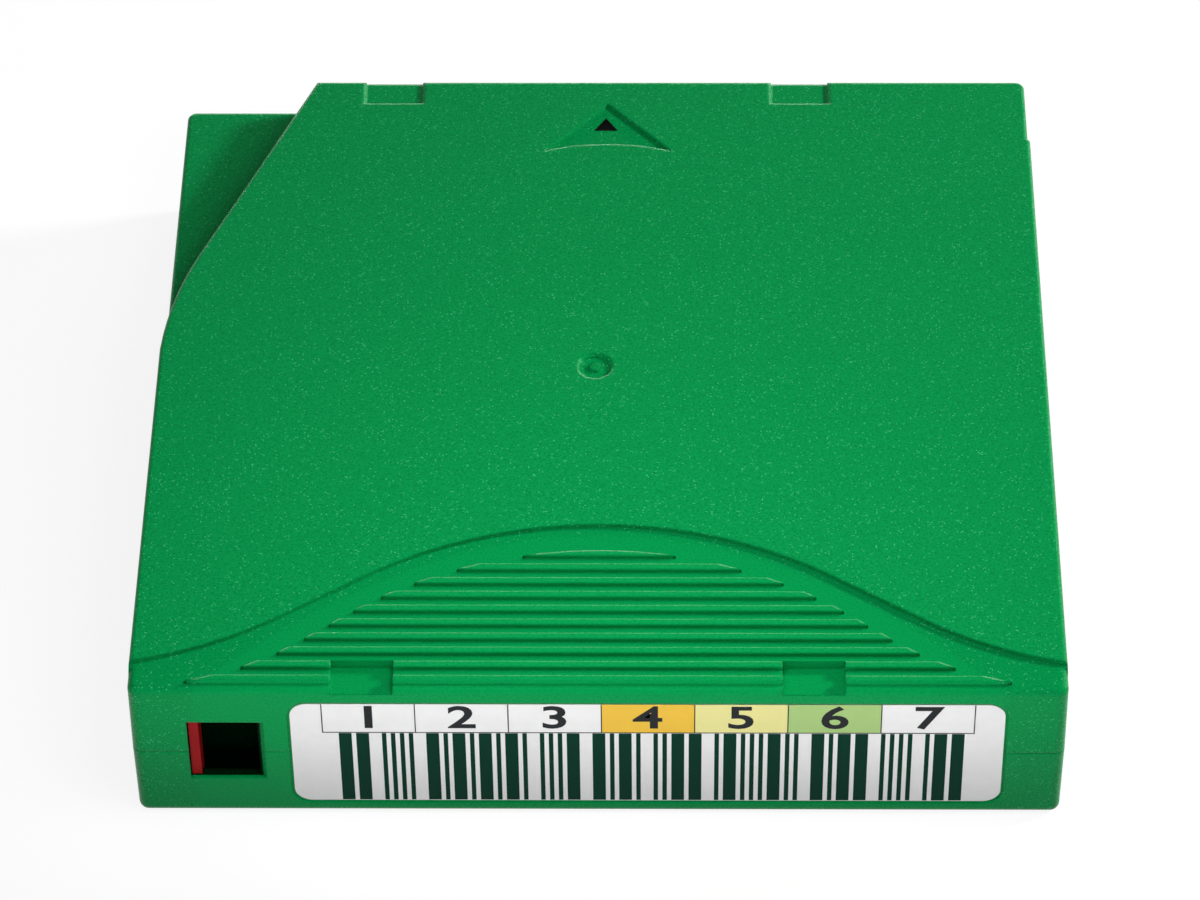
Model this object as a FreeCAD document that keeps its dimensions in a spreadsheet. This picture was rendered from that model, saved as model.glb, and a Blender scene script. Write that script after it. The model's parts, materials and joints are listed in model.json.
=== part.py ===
import FreeCAD, Part
import math
import operator
import os
import Sketcher

# Half-inch data tape cartridge with one reel.
#
# Frame: the origin is the middle of the case's footprint on its underside, +Z up.  The label face
# looks towards -Y, the insertion end is towards +Y, and the tape door is in the +X side.
# All sizes are in millimetres and degrees.

V = FreeCAD.Vector
UP = V(0, 0, 1)

SIZES = {
    # outer case
    "case_width": 105.4,
    "case_length": 102.0,
    "case_height": 21.5,
    "parting_height": 10.55,
    "plan_corner_radius": 1.2,
    "draft_angle": 0.5,
    "bottom_rounding": 1.1,
    "front_rounding": 0.8,
    "side_wall": 1.6,
    "front_wall": 1.5,
    "floor_thickness": 2.0,
    "roof_thickness": 2.0,
    "inner_corner_radius": 0.8,
    "side_relief_depth": 0.3,
    "side_relief_length": 10.6,
    # reel axis, measured from the middle of the case
    "reel_offset_across": -0.8,
    "reel_offset_along": 0.2,
    # stepped insertion-guide corner
    "guide_depth": 5.2,
    "guide_angle": 157.8,
    "guide_rounding": 0.5,
    "seam_bevel": 0.08,
    # wave step and the grip ribs in front of it
    "wave_depth": 0.55,
    "wave_crown_radius": 48.0,
    "wave_slope": 33.5,
    "wave_run": 12.0,
    "wave_sweep_radius": 45.0,
    "wave_to_ribs": 4.1,
    "wave_foot_height": 0.3,
    "wave_foot_slope": 48.0,
    "rib_count": 10,
    "rib_pitch": 2.14,
    "rib_width": 1.0,
    "rib_front_margin": 0.1,
    "rib_first_width": 0.85,
    "rib_rounding": 0.16,
    "rib_crown_radius": 45.5,
    "rib_slope": 38.5,
    "rib_run": 6.3,
    "rib_sweep_radius": 33.0,
    # edge notches for a library's picker
    "notch_offset": -1.1,
    "notch_spacing": 50.6,
    "notch_width": 7.0,
    "front_notch_length": 4.1,
    "front_notch_depth": 1.3,
    "back_notch_length": 4.0,
    "back_notch_depth": 0.55,
    # arrow recess at the insertion end
    "arrow_offset": 0.3,
    "arrow_inset": 4.4,
    "arrow_half_width": 7.7,
    "arrow_length": 8.5,
    "arrow_sag": 1.2,
    "arrow_depth": 0.4,
    "arrow_rounding": 0.15,
    # moulding gate dimple over the reel axis
    "gate_radius": 1.8,
    "gate_depth": 0.5,
    "gate_bevel": 0.35,
    "gate_nub_radius": 0.7,
    "gate_nub_height": 0.3,
    # label and its recess in the front face
    "label_left": -34.6,
    "label_width": 80.3,
    "label_bottom": 2.1,
    "label_height": 16.4,
    "label_corner_radius": 2.0,
    "label_thickness": 0.12,
    "label_clearance": 0.3,
    "label_recess_depth": 0.3,
    # write-protect window and tab
    "window_left": -46.3,
    "window_width": 7.9,
    "window_bottom": 6.0,
    "window_height": 9.5,
    "window_bevel": 0.8,
    "chamber_margin": 1.4,
    "chamber_depth": 5.6,
    "chamber_wall": 1.0,
    "tab_thickness": 1.6,
    "tab_width": 5.5,
    "tab_lug_width": 1.1,
    "tab_lug_proud": 1.2,
    "tab_gap": 0.15,
    "tab_rail_width": 0.8,
    # running gap of sliding pieces, and how far inner ribs run into the walls that carry them
    "slide_gap": 0.15,
    "wall_bite": 0.5,
    # door in the right side
    "door_opening_length": 15.8,
    "door_opening_inset": 4.2,
    "door_opening_bottom": 3.2,
    "door_thickness": 1.2,
    "door_overlap": 1.4,
    "door_foot_width": 1.05,
    "door_foot_length": 1.5,
    "door_foot_height": 2.45,
    "door_groove_depth": 0.5,
    "door_groove_width": 2.0,
    "door_groove_inset": 4.4,
    "door_groove_margin": 0.8,
    "rail_setback": 1.0,
    "rail_width": 0.8,
    "rail_height": 1.0,
    "rail_length": 4.5,
    # door spring in its channel
    "door_spring_radius": 0.95,
    "door_spring_wire": 0.4,
    "door_spring_turns": 6,
    "door_spring_gap": 0.1,
    "spring_stop_along": 0.5,
    "spring_stop_length": 1.5,
    "spring_stop_height": 3.0,
    "keeper_width": 0.55,
    # leader pin, clip and spring
    "pin_inset_across": 7.7,
    "pin_inset_along": 11.5,
    "pin_neck_radius": 1.3,
    "pin_disc_radius": 2.5,
    "pin_disc_thickness": 1.2,
    "pin_end_gap": 0.05,
    "cradle_gap": 0.15,
    "cradle_wall": 1.0,
    "cradle_height": 1.2,
    "cradle_lip": 2.0,
    "clip_wall": 0.8,
    "clip_mouth": 60.0,
    "pin_spring_wire": 0.5,
    "pin_spring_reach": 5.0,
    "pin_spring_bend": 1.0,
    "spring_post_width": 2.0,
    "spring_post_thickness": 1.5,
    # tape
    "tape_width": 12.65,
    "tape_thickness": 0.12,
    "leader_gap": 0.03,
    "pack_radius": 46.85,
    # reel
    "flange_radius": 48.5,
    "flange_thickness": 1.2,
    "flange_underside": 2.6,
    "tape_gap": 13.1,
    "hub_radius": 22.0,
    "hub_wall": 2.5,
    "hub_floor": 2.0,
    "upper_spigot_depth": 1.5,
    "upper_spigot_wall": 0.8,
    "spigot_gap": 0.05,
    "well_gap": 0.8,
    "well_wall": 1.1,
    "well_start_angle": 95.0,
    "well_end_angle": 355.0,
    "seat_gap": 0.8,
    "seat_width": 1.6,
    "spindle_radius": 18.8,
    "spindle_chamfer": 0.6,
    # drive teeth under the hub
    "drive_teeth": 60,
    "drive_tooth_inner": 15.5,
    "drive_tooth_outer": 18.3,
    "drive_tooth_height": 1.6,
    "drive_tooth_base": 1.2,
    "drive_tooth_tip": 0.4,
    # steel plate under the hub
    "plate_radius": 14.7,
    "plate_bore": 4.0,
    "plate_thickness": 1.0,
    # brake teeth
    "brake_teeth": 36,
    "brake_ring_inner": 12.0,
    "brake_ring_outer": 15.0,
    "brake_ring_height": 1.0,
    "brake_tooth_height": 1.4,
    "brake_tooth_base": 1.15,
    "brake_tooth_tip": 0.5,
    "brake_mesh_gap": 0.1,
    "brake_tip_gap": 0.15,
    # release pad
    "pad_thickness": 1.0,
    "pad_hub_radius": 6.0,
    "pad_boss_radius": 2.6,
    "pad_boss_height": 0.4,
    "pad_leg_circle": 16.9,
    "pad_leg_radius": 1.2,
    "pad_arm_half_width": 1.8,
    "pad_leg_below": 3.1,
    "leg_hole_gap": 0.3,
    "arm_slot_gap": 0.5,
    "arm_slot_overcut": 1.0,
    "release_travel": 1.7,
    # brake disc, its key and its spring
    "brake_disc_radius": 15.8,
    "brake_disc_thickness": 1.5,
    "brake_post_radius": 5.2,
    "brake_post_height": 5.4,
    "key_half_length": 3.6,
    "key_width": 1.2,
    "key_gap": 0.15,
    "key_end_gap": 0.3,
    "brake_spring_radius": 7.5,
    "brake_spring_wire": 0.9,
    "brake_spring_turns": 4,
    "spring_end_gap": 0.1,
    "collar_height": 0.8,
    "collar_wall": 0.8,
    # screws and bosses
    "screw_side_inset": 6.4,
    "screw_front_inset": 12.4,
    "screw_back_inset": 5.0,
    "boss_radius": 2.6,
    "screw_head_radius": 2.1,
    "screw_head_height": 1.4,
    "screw_head_depth": 0.3,
    "screw_head_gap": 0.2,
    "screw_shank_radius": 1.1,
    "screw_hole_gap": 0.15,
    "screw_pilot_bite": 0.12,
    "screw_length": 11.9,
    "screw_tip_gap": 0.5,
    "screw_point_radius": 0.4,
    "screw_socket_radius": 1.0,
    "screw_socket_depth": 0.8,
    # datum hole and slot in the underside
    "datum_spacing": 78.0,
    "datum_front_inset": 12.5,
    "datum_radius": 2.0,
    "datum_depth": 4.0,
    "datum_cup_wall": 1.0,
    "datum_slot_length": 6.0,
    # memory chip across the front right corner
    "chip_length": 8.4,
    "chip_thickness": 1.0,
    "chip_height": 6.5,
    "chip_corner_inset": 4.9,
    "chip_holder_height": 3.0,
    "chip_holder_wall": 0.7,
    "chip_gap": 0.1,
    # how far cutting outlines run past the case
    "overrun": 4.0,
}

NODES = []
VOLUMES = {}

doc = FreeCAD.newDocument("TapeCartridge")
sheet = doc.addObject("Spreadsheet::Sheet", "Sizes")
for row, (alias, number) in enumerate(SIZES.items(), start=1):
    sheet.set(f"A{row}", alias)
    sheet.set(f"B{row}", str(number))
    sheet.setAlias(f"B{row}", alias)
doc.recompute()


# ---------------------------------------------------------------- sizes with their expressions

class Size:
    """A number together with the expression over the sheet that gives it."""

    def __init__(self, value, text):
        self.value = float(value)
        self.text = text

    def __add__(self, other):
        return combine(self, "+", other)

    def __radd__(self, other):
        return combine(other, "+", self)

    def __sub__(self, other):
        return combine(self, "-", other)

    def __rsub__(self, other):
        return combine(other, "-", self)

    def __mul__(self, other):
        return combine(self, "*", other)

    def __rmul__(self, other):
        return combine(other, "*", self)

    def __truediv__(self, other):
        return combine(self, "/", other)

    def __rtruediv__(self, other):
        return combine(other, "/", self)

    def __neg__(self):
        return Size(-self.value, f"(-{self.text})")


OPERATIONS = {"+": operator.add, "-": operator.sub, "*": operator.mul, "/": operator.truediv}


def as_size(number):
    """A plain number as a Size; a Size stays as it is."""
    if isinstance(number, Size):
        return number
    return Size(number, f"{float(number):.10f}")


def combine(left, sign, right):
    """The Size that one of the four operations makes of two numbers."""
    left = as_size(left)
    right = as_size(right)
    value = OPERATIONS[sign](left.value, right.value)
    return Size(value, f"({left.text} {sign} {right.text})")


def cell(alias):
    """The Size held in one cell of the sheet."""
    return Size(SIZES[alias], f"Sizes.{alias}")


def cosine(angle):
    """Cosine of a Size in degrees."""
    return Size(math.cos(math.radians(angle.value)), f"cos({angle.text})")


def sine(angle):
    """Sine of a Size in degrees."""
    return Size(math.sin(math.radians(angle.value)), f"sin({angle.text})")


def root(number):
    """Square root of a Size."""
    return Size(math.sqrt(number.value), f"sqrt({number.text})")


def bind(thing, path, size):
    """Give a property its expression; plain numbers are written as they are."""
    thing.setExpression(path, as_size(size).text)


# ---------------------------------------------------------------- sketches

class Bend:
    """The arc that leads to an outline's next corner."""

    def __init__(self, radius, left=True, major=False):
        self.radius = radius
        self.left = left
        self.major = major


def origin_feature(body, role):
    """One of a body's origin planes or axes."""
    for feature in body.Origin.OriginFeatures:
        if feature.Role == role:
            return feature
    raise ValueError(role)


def new_body(label):
    """A body whose label names its file."""
    body = doc.addObject("PartDesign::Body", label)
    body.Label = label
    NODES.append(body)
    return body


def new_sketch(body, name, role="XY_Plane", height=0.0):
    """A sketch parallel to an origin plane of its body, moved along the plane's normal."""
    sketch = body.newObject("Sketcher::SketchObject", f"{body.Name}_{name}")
    sketch.AttachmentSupport = [(origin_feature(body, role), "")]
    sketch.MapMode = "FlatFace"
    bind(sketch, ".AttachmentOffset.Base.z", height)
    return sketch


def add_size(sketch, kind, elements, size):
    """A dimension whose value is bound to the sheet."""
    size = as_size(size)
    index = sketch.addConstraint(Sketcher.Constraint(kind, *elements, size.value))
    sketch.setExpression(f"Constraints[{index}]", size.text)


def hold(sketch, geometry, vertex, x, y):
    """Hold a vertex by its two distances from the sketch's origin."""
    add_size(sketch, "DistanceX", (-1, 1, geometry, vertex), x)
    add_size(sketch, "DistanceY", (-1, 1, geometry, vertex), y)


def add_line(sketch, start, end):
    """A straight stretch: its index and its first and last vertex."""
    return sketch.addGeometry(Part.LineSegment(start, end)), 1, 2


def add_arc(sketch, start, end, bend):
    """A round stretch: its index and its first and last vertex."""
    radius = as_size(bend.radius)
    chord = end - start
    middle = (start + end) / 2
    rise = math.sqrt(max(radius.value ** 2 - (chord.Length / 2) ** 2, 0.0))
    side = V(-chord.y, chord.x, 0).normalize()
    if bend.left == bend.major:
        side = -side
    centre = middle + side * rise
    round_edge = Part.Circle(centre, UP, radius.value)
    first, last = (start, end) if bend.left else (end, start)
    angles = [math.atan2(spot.y - centre.y, spot.x - centre.x) for spot in (first, last)]
    index = sketch.addGeometry(Part.ArcOfCircle(round_edge, angles[0], angles[1]))
    add_size(sketch, "Radius", (index,), radius)
    return (index, 1, 2) if bend.left else (index, 2, 1)


def draw(sketch, corners):
    """Draw one closed loop through corners (x, y), with (x, y, Bend) where an arc sets off."""
    spots = [V(as_size(corner[0]).value, as_size(corner[1]).value, 0) for corner in corners]
    stretches = []
    for index, corner in enumerate(corners):
        start = spots[index]
        end = spots[(index + 1) % len(spots)]
        if len(corner) == 3:
            stretches.append(add_arc(sketch, start, end, corner[2]))
        else:
            stretches.append(add_line(sketch, start, end))
    for index, (geometry, first, last) in enumerate(stretches):
        hold(sketch, geometry, first, corners[index][0], corners[index][1])
        following, following_first, _ = stretches[(index + 1) % len(stretches)]
        joint = Sketcher.Constraint("Coincident", geometry, last, following, following_first)
        sketch.addConstraint(joint)


def draw_circle(sketch, x, y, radius):
    """A circle with its centre and radius held."""
    centre = V(as_size(x).value, as_size(y).value, 0)
    index = sketch.addGeometry(Part.Circle(centre, UP, as_size(radius).value))
    hold(sketch, index, 3, x, y)
    add_size(sketch, "Radius", (index,), radius)


def box(left, right, low, high):
    """Corners of a rectangle."""
    return [(left, low), (right, low), (right, high), (left, high)]


def rounded_box(left, right, low, high, radius):
    """Corners of a rectangle with four equal round corners."""
    bend = Bend(radius)
    return [
        (left + radius, low),
        (right - radius, low, bend),
        (right, low + radius),
        (right, high - radius, bend),
        (right - radius, high),
        (left + radius, high, bend),
        (left, high - radius),
        (left, low + radius, bend),
    ]


def ring_sector(x, y, inner, outer, start, end):
    """Corners of a stretch of a ring, from one angle to another, counterclockwise."""
    major = (end.value - start.value) > 180
    return [
        (x + outer * cosine(start), y + outer * sine(start), Bend(outer, True, major)),
        (x + outer * cosine(end), y + outer * sine(end)),
        (x + inner * cosine(end), y + inner * sine(end), Bend(inner, False, major)),
        (x + inner * cosine(start), y + inner * sine(start)),
    ]


# ---------------------------------------------------------------- features

def settle(body, feature, grows=None):
    """Recompute, and make sure that a pad or a cut added or took away material."""
    body.Tip = feature
    doc.recompute()
    volume = feature.Shape.Volume
    change = volume - VOLUMES.get(body.Name, 0.0)
    if (grows is True and change <= 0) or (grows is False and change >= 0):
        raise ValueError(f"{feature.Name} changed the volume by {change:.4f}")
    VOLUMES[body.Name] = volume
    return feature


def pad(body, sketch, length, down=False, draft=None):
    """Pad a sketch along its normal, or against it."""
    feature = body.newObject("PartDesign::Pad", f"{sketch.Name}_pad")
    feature.Profile = sketch
    feature.Reversed = down
    bind(feature, "Length", length)
    if draft is not None:
        bind(feature, "TaperAngle", -draft)
    return settle(body, feature, True)


def pocket(body, sketch, depth, up=False, draft=None):
    """Cut a sketch against its normal, or along it; a draft narrows the cut as it goes."""
    feature = body.newObject("PartDesign::Pocket", f"{sketch.Name}_pocket")
    feature.Profile = sketch
    feature.Reversed = up
    bind(feature, "Length", depth)
    if draft is not None:
        bind(feature, "TaperAngle", -draft)
    return settle(body, feature, False)


def revolve(body, sketch):
    """Turn a half section about the body's own Z axis."""
    feature = body.newObject("PartDesign::Revolution", f"{sketch.Name}_turn")
    feature.Profile = sketch
    feature.ReferenceAxis = (sketch, ["V_Axis"])
    feature.Angle = 360.0
    return settle(body, feature, True)


def around(body, feature, count):
    """Repeat a feature evenly about the body's Z axis."""
    pattern = body.newObject("PartDesign::PolarPattern", f"{feature.Name}_ring")
    pattern.Originals = [feature]
    pattern.Axis = (origin_feature(body, "Z_Axis"), [""])
    pattern.Angle = 360.0
    bind(pattern, "Occurrences", count)
    return settle(body, pattern, feature.TypeId != "PartDesign::Pocket")


def in_row(body, feature, count, pitch, role, backwards=False):
    """Repeat a feature in a straight row along one of the body's axes."""
    pattern = body.newObject("PartDesign::LinearPattern", f"{feature.Name}_row")
    pattern.Originals = [feature]
    pattern.Direction = (origin_feature(body, role), [""])
    pattern.Reversed = backwards
    bind(pattern, "Length", pitch * (count - 1))
    bind(pattern, "Occurrences", count)
    return settle(body, pattern, True)


def edges_where(body, test):
    """Names of the body's edges whose middle passes a test."""
    names = []
    for index, edge in enumerate(body.Shape.Edges, start=1):
        middle = edge.valueAt((edge.FirstParameter + edge.LastParameter) / 2)
        if test(edge, middle):
            names.append(f"Edge{index}")
    if not names:
        raise ValueError(f"{body.Name} has no such edge")
    return names


def round_edges(body, name, radius, test):
    """Fillet the edges that pass a test."""
    base = (body.Tip, edges_where(body, test))
    feature = body.newObject("PartDesign::Fillet", f"{body.Name}_{name}")
    feature.Base = base
    bind(feature, "Radius", radius)
    return settle(body, feature)


def bevel_edges(body, name, size, test):
    """Chamfer the edges that pass a test."""
    base = (body.Tip, edges_where(body, test))
    feature = body.newObject("PartDesign::Chamfer", f"{body.Name}_{name}")
    feature.Base = base
    bind(feature, "Size", size)
    return settle(body, feature)


def put(body, x, y, z=0.0):
    """Place a body by the sheet's values."""
    bind(body, ".Placement.Base.x", x)
    bind(body, ".Placement.Base.y", y)
    bind(body, ".Placement.Base.z", z)


def near(first, second, slack=0.01):
    """Whether two lengths are the same to the given slack."""
    return abs(first - second) < slack


# ---------------------------------------------------------------- shared places

HALF_WIDTH = cell("case_width") / 2
HALF_LENGTH = cell("case_length") / 2
TOP = cell("case_height")
PARTING = cell("parting_height")
FLOOR = cell("floor_thickness")
ROOF = TOP - cell("roof_thickness")
OVERRUN = cell("overrun")
GAP = cell("slide_gap")
BITE = cell("wall_bite")

INNER_LEFT = cell("side_wall") - HALF_WIDTH
INNER_RIGHT = HALF_WIDTH - cell("side_wall")
INNER_FRONT = cell("front_wall") - HALF_LENGTH
INNER_BACK = HALF_LENGTH - cell("side_wall")

REEL_X = cell("reel_offset_across")
REEL_Y = cell("reel_offset_along")

# the insertion-guide corner: an arc about the reel axis that touches the left side, and its tangent
GUIDE_RADIUS = HALF_WIDTH + REEL_X
GUIDE_LEVEL = TOP - cell("guide_depth")
GUIDE_ROOF = GUIDE_LEVEL - cell("roof_thickness")
GUIDE_COS = cosine(cell("guide_angle"))
GUIDE_SIN = sine(cell("guide_angle"))

# how far the drafted front face stands back at the recess behind the wave step
RECESS_LEVEL = TOP - cell("wave_depth")
DRAFT_TAN = sine(cell("draft_angle")) / cosine(cell("draft_angle"))
FRONT_AT_RECESS = (RECESS_LEVEL - PARTING) * DRAFT_TAN - HALF_LENGTH

# ribs are counted from the front edge towards the wave
RIB_LAST_FRONT = FRONT_AT_RECESS + cell("front_rounding") + cell("rib_front_margin")
RIB_FIRST_FRONT = RIB_LAST_FRONT + cell("rib_pitch") * (cell("rib_count") - 1)
RIB_APEX = RIB_FIRST_FRONT + cell("rib_first_width")
WAVE_APEX = RIB_APEX + cell("wave_to_ribs")

# screws
SCREW_X = HALF_WIDTH - cell("screw_side_inset")
SCREW_FRONT = cell("screw_front_inset") - HALF_LENGTH
SCREW_BACK = HALF_LENGTH - cell("screw_back_inset")
SCREW_PLACES = [
    (-SCREW_X, SCREW_FRONT),
    (SCREW_X, SCREW_FRONT),
    (SCREW_X, SCREW_BACK),
    (-SCREW_X, SCREW_BACK),
]
SCREW_SEAT = cell("screw_head_depth") + cell("screw_head_height")
SCREW_TIP = SCREW_SEAT + cell("screw_length")

# write-protect chamber
WINDOW_RIGHT = cell("window_left") + cell("window_width")
WINDOW_TOP = cell("window_bottom") + cell("window_height")
CHAMBER_RIGHT = WINDOW_RIGHT + cell("chamber_margin")
CHAMBER_BACK = INNER_FRONT + cell("chamber_depth")
TAB_FRONT = INNER_FRONT + cell("slide_gap")
TAB_BACK = TAB_FRONT + cell("tab_thickness")
TAB_RAIL = TAB_BACK + cell("tab_gap")

# door and its opening
OPENING_BACK = HALF_LENGTH - cell("door_opening_inset")
OPENING_FRONT = OPENING_BACK - cell("door_opening_length")
OPENING_LOW = cell("door_opening_bottom")
OPENING_HIGH = TOP - cell("door_opening_bottom")
DOOR_OUTER = INNER_RIGHT - GAP
DOOR_INNER = DOOR_OUTER - cell("door_thickness")
DOOR_FRONT = OPENING_FRONT - cell("door_overlap")
DOOR_BACK = OPENING_BACK + cell("door_overlap")
RAIL_OUTER = DOOR_INNER - GAP
RAIL_INNER = RAIL_OUTER - cell("rail_width")
FOOT_INNER = DOOR_INNER - cell("door_foot_width")
KEEPER_OUTER = FOOT_INNER - GAP
KEEPER_INNER = KEEPER_OUTER - cell("keeper_width")
STOP_FRONT = cell("spring_stop_along")
STOP_BACK = STOP_FRONT + cell("spring_stop_length")

# leader pin
PIN_X = HALF_WIDTH - cell("pin_inset_across")
PIN_Y = HALF_LENGTH - cell("pin_inset_along")
PIN_LOW = FLOOR + cell("pin_end_gap")
PIN_HIGH = ROOF - cell("pin_end_gap")
CRADLE_INNER = cell("pin_disc_radius") + cell("cradle_gap")
CRADLE_OUTER = CRADLE_INNER + cell("cradle_wall")
SPRING_WIRE_HALF = cell("pin_spring_wire") / 2
PIN_SPRING_BACK = PIN_Y - cell("pin_spring_reach")
POST_FRONT = PIN_SPRING_BACK - SPRING_WIRE_HALF - GAP - cell("spring_post_thickness")
POST_BACK = POST_FRONT + cell("spring_post_thickness")

# reel levels
FLANGE_LOW = cell("flange_underside")
FLANGE_TOP = FLANGE_LOW + cell("flange_thickness")
UPPER_FLANGE_LOW = FLANGE_TOP + cell("tape_gap")
UPPER_FLANGE_TOP = UPPER_FLANGE_LOW + cell("flange_thickness")
HUB_FLOOR_TOP = FLANGE_LOW + cell("hub_floor")
HUB_INNER = cell("hub_radius") - cell("hub_wall")
TAPE_LOW = FLANGE_TOP + (cell("tape_gap") - cell("tape_width")) / 2
WELL_INNER = cell("flange_radius") + cell("well_gap")
WELL_OUTER = WELL_INNER + cell("well_wall")
BRAKE_RING_TOP = HUB_FLOOR_TOP + cell("brake_ring_height")
BRAKE_TOOTH_TOP = BRAKE_RING_TOP + cell("brake_tooth_height")
BRAKE_LOW = BRAKE_TOOTH_TOP + cell("brake_mesh_gap")
BRAKE_TOP = BRAKE_LOW + cell("brake_disc_thickness")
PAD_TOP = HUB_FLOOR_TOP + cell("pad_thickness")
PAD_BOSS_TOP = PAD_TOP + cell("pad_boss_height")
BRAKE_POST_TOP = BRAKE_TOP + cell("brake_post_height")
KEY_LOW = BRAKE_TOP + cell("release_travel") + cell("key_end_gap")

# datum features lie either side of the reel axis
DATUM_HOLE_X = REEL_X - cell("datum_spacing") / 2
DATUM_SLOT_X = REEL_X + cell("datum_spacing") / 2
DATUM_Y = cell("datum_front_inset") - HALF_LENGTH

# memory chip
CHIP_X = INNER_RIGHT - cell("chip_corner_inset")
CHIP_Y = INNER_FRONT + cell("chip_corner_inset")


# ---------------------------------------------------------------- outlines of the case

def case_outline():
    """Plan of the case at the parting plane, with the shallow relief beside the door."""
    radius = cell("plan_corner_radius")
    relief = cell("side_relief_depth")
    relief_front = HALF_LENGTH - cell("side_relief_length")
    bend = Bend(radius)
    return [
        (radius - HALF_WIDTH, -HALF_LENGTH),
        (HALF_WIDTH - radius, -HALF_LENGTH, bend),
        (HALF_WIDTH, radius - HALF_LENGTH),
        (HALF_WIDTH, relief_front - relief),
        (HALF_WIDTH - relief, relief_front),
        (HALF_WIDTH - relief, HALF_LENGTH - radius, bend),
        (HALF_WIDTH - relief - radius, HALF_LENGTH),
        (radius - HALF_WIDTH, HALF_LENGTH, bend),
        (-HALF_WIDTH, HALF_LENGTH - radius),
        (-HALF_WIDTH, radius - HALF_LENGTH, bend),
    ]


def inner_outline():
    """Plan of the hollow inside the outer walls."""
    return rounded_box(INNER_LEFT, INNER_RIGHT, INNER_FRONT, INNER_BACK, cell("inner_corner_radius"))


def guide_line_at(radius, along):
    """Where the guide's slanting line, at a distance from the reel axis, reaches a place along Y."""
    touch_x = REEL_X + radius * GUIDE_COS
    touch_y = REEL_Y + radius * GUIDE_SIN
    return touch_x, touch_y, touch_x - GUIDE_SIN * (along - touch_y) / GUIDE_COS


def guide_outline():
    """Plan of what the insertion-guide corner takes off the top."""
    back = HALF_LENGTH + OVERRUN
    outside = -HALF_WIDTH - OVERRUN
    touch_x, touch_y, line_end = guide_line_at(GUIDE_RADIUS, back)
    return [
        (touch_x, touch_y),
        (line_end, back),
        (outside, back),
        (outside, REEL_Y),
        (-HALF_WIDTH, REEL_Y, Bend(GUIDE_RADIUS, False)),
    ]


def upper_hollow_outline():
    """Plan of the full-height hollow in the upper half, which stays inside the guide's wall."""
    radius = GUIDE_RADIUS - cell("side_wall")
    corner = cell("inner_corner_radius")
    touch_x, touch_y, line_end = guide_line_at(radius, INNER_BACK)
    bend = Bend(corner)
    return [
        (INNER_LEFT + corner, INNER_FRONT),
        (INNER_RIGHT - corner, INNER_FRONT, bend),
        (INNER_RIGHT, INNER_FRONT + corner),
        (INNER_RIGHT, INNER_BACK - corner, bend),
        (INNER_RIGHT - corner, INNER_BACK),
        (line_end, INNER_BACK),
        (touch_x, touch_y, Bend(radius, True)),
        (INNER_LEFT, REEL_Y),
        (INNER_LEFT, INNER_FRONT + corner, bend),
    ]


def crown_curve(apex, crown, slope, run, sweep, reach, leftward=True):
    """An open run of a crown, a straight slope on each side of it and two sweeps to the sides."""
    knee_x = crown * sine(slope)
    knee_y = apex - crown * (1 - cosine(slope))
    foot_x = knee_x + run * cosine(slope)
    foot_y = knee_y - run * sine(slope)
    # each sweep's centre lies straight above the point where the sweep would be level
    level_x = foot_x + sweep * sine(slope)
    level_y = foot_y - sweep * (1 - cosine(slope))
    end_y = level_y + sweep - root(sweep * sweep - (level_x - reach) * (level_x - reach))
    side = 1 if leftward else -1
    return [
        (side * reach, end_y, Bend(sweep, not leftward)),
        (side * foot_x, foot_y),
        (side * knee_x, knee_y, Bend(crown, leftward)),
        (-side * knee_x, knee_y),
        (-side * foot_x, foot_y, Bend(sweep, not leftward)),
        (-side * reach, end_y),
    ]


def wave_curve(reach):
    """The wave step, from right to left."""
    return crown_curve(WAVE_APEX, cell("wave_crown_radius"), cell("wave_slope"), cell("wave_run"),
                       cell("wave_sweep_radius"), reach)


def rib_end_curve(reach):
    """The curve on which the grip ribs end, from left to right."""
    return crown_curve(RIB_APEX, cell("rib_crown_radius"), cell("rib_slope"), cell("rib_run"),
                       cell("rib_sweep_radius"), reach, leftward=False)


# ---------------------------------------------------------------- features of both shells

def bevel_seam(body):
    """The fine bevel along the outer edge at the parting plane."""
    level = PARTING.value
    bevel_edges(body, "seam_bevel", cell("seam_bevel"), lambda edge, middle: near(middle.z, level))


def inner_walls(body, start, end):
    """Reel well, write-protect chamber and the pin spring's post, from one level to another."""
    sketch = new_sketch(body, "walls", height=start)
    draw(sketch, ring_sector(REEL_X, REEL_Y, WELL_INNER, WELL_OUTER,
                             cell("well_start_angle"), cell("well_end_angle")))
    pad(body, sketch, end - start)
    wall = cell("chamber_wall")
    chamber = new_sketch(body, "chamber", height=start)
    draw(chamber, [
        (CHAMBER_RIGHT, INNER_FRONT - BITE),
        (CHAMBER_RIGHT + wall, INNER_FRONT - BITE),
        (CHAMBER_RIGHT + wall, CHAMBER_BACK + wall),
        (INNER_LEFT - BITE, CHAMBER_BACK + wall),
        (INNER_LEFT - BITE, CHAMBER_BACK),
        (CHAMBER_RIGHT, CHAMBER_BACK),
    ])
    half_post = cell("spring_post_width") / 2
    draw(chamber, box(PIN_X - half_post, PIN_X + half_post, POST_FRONT, POST_BACK))
    pad(body, chamber, end - start)


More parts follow.
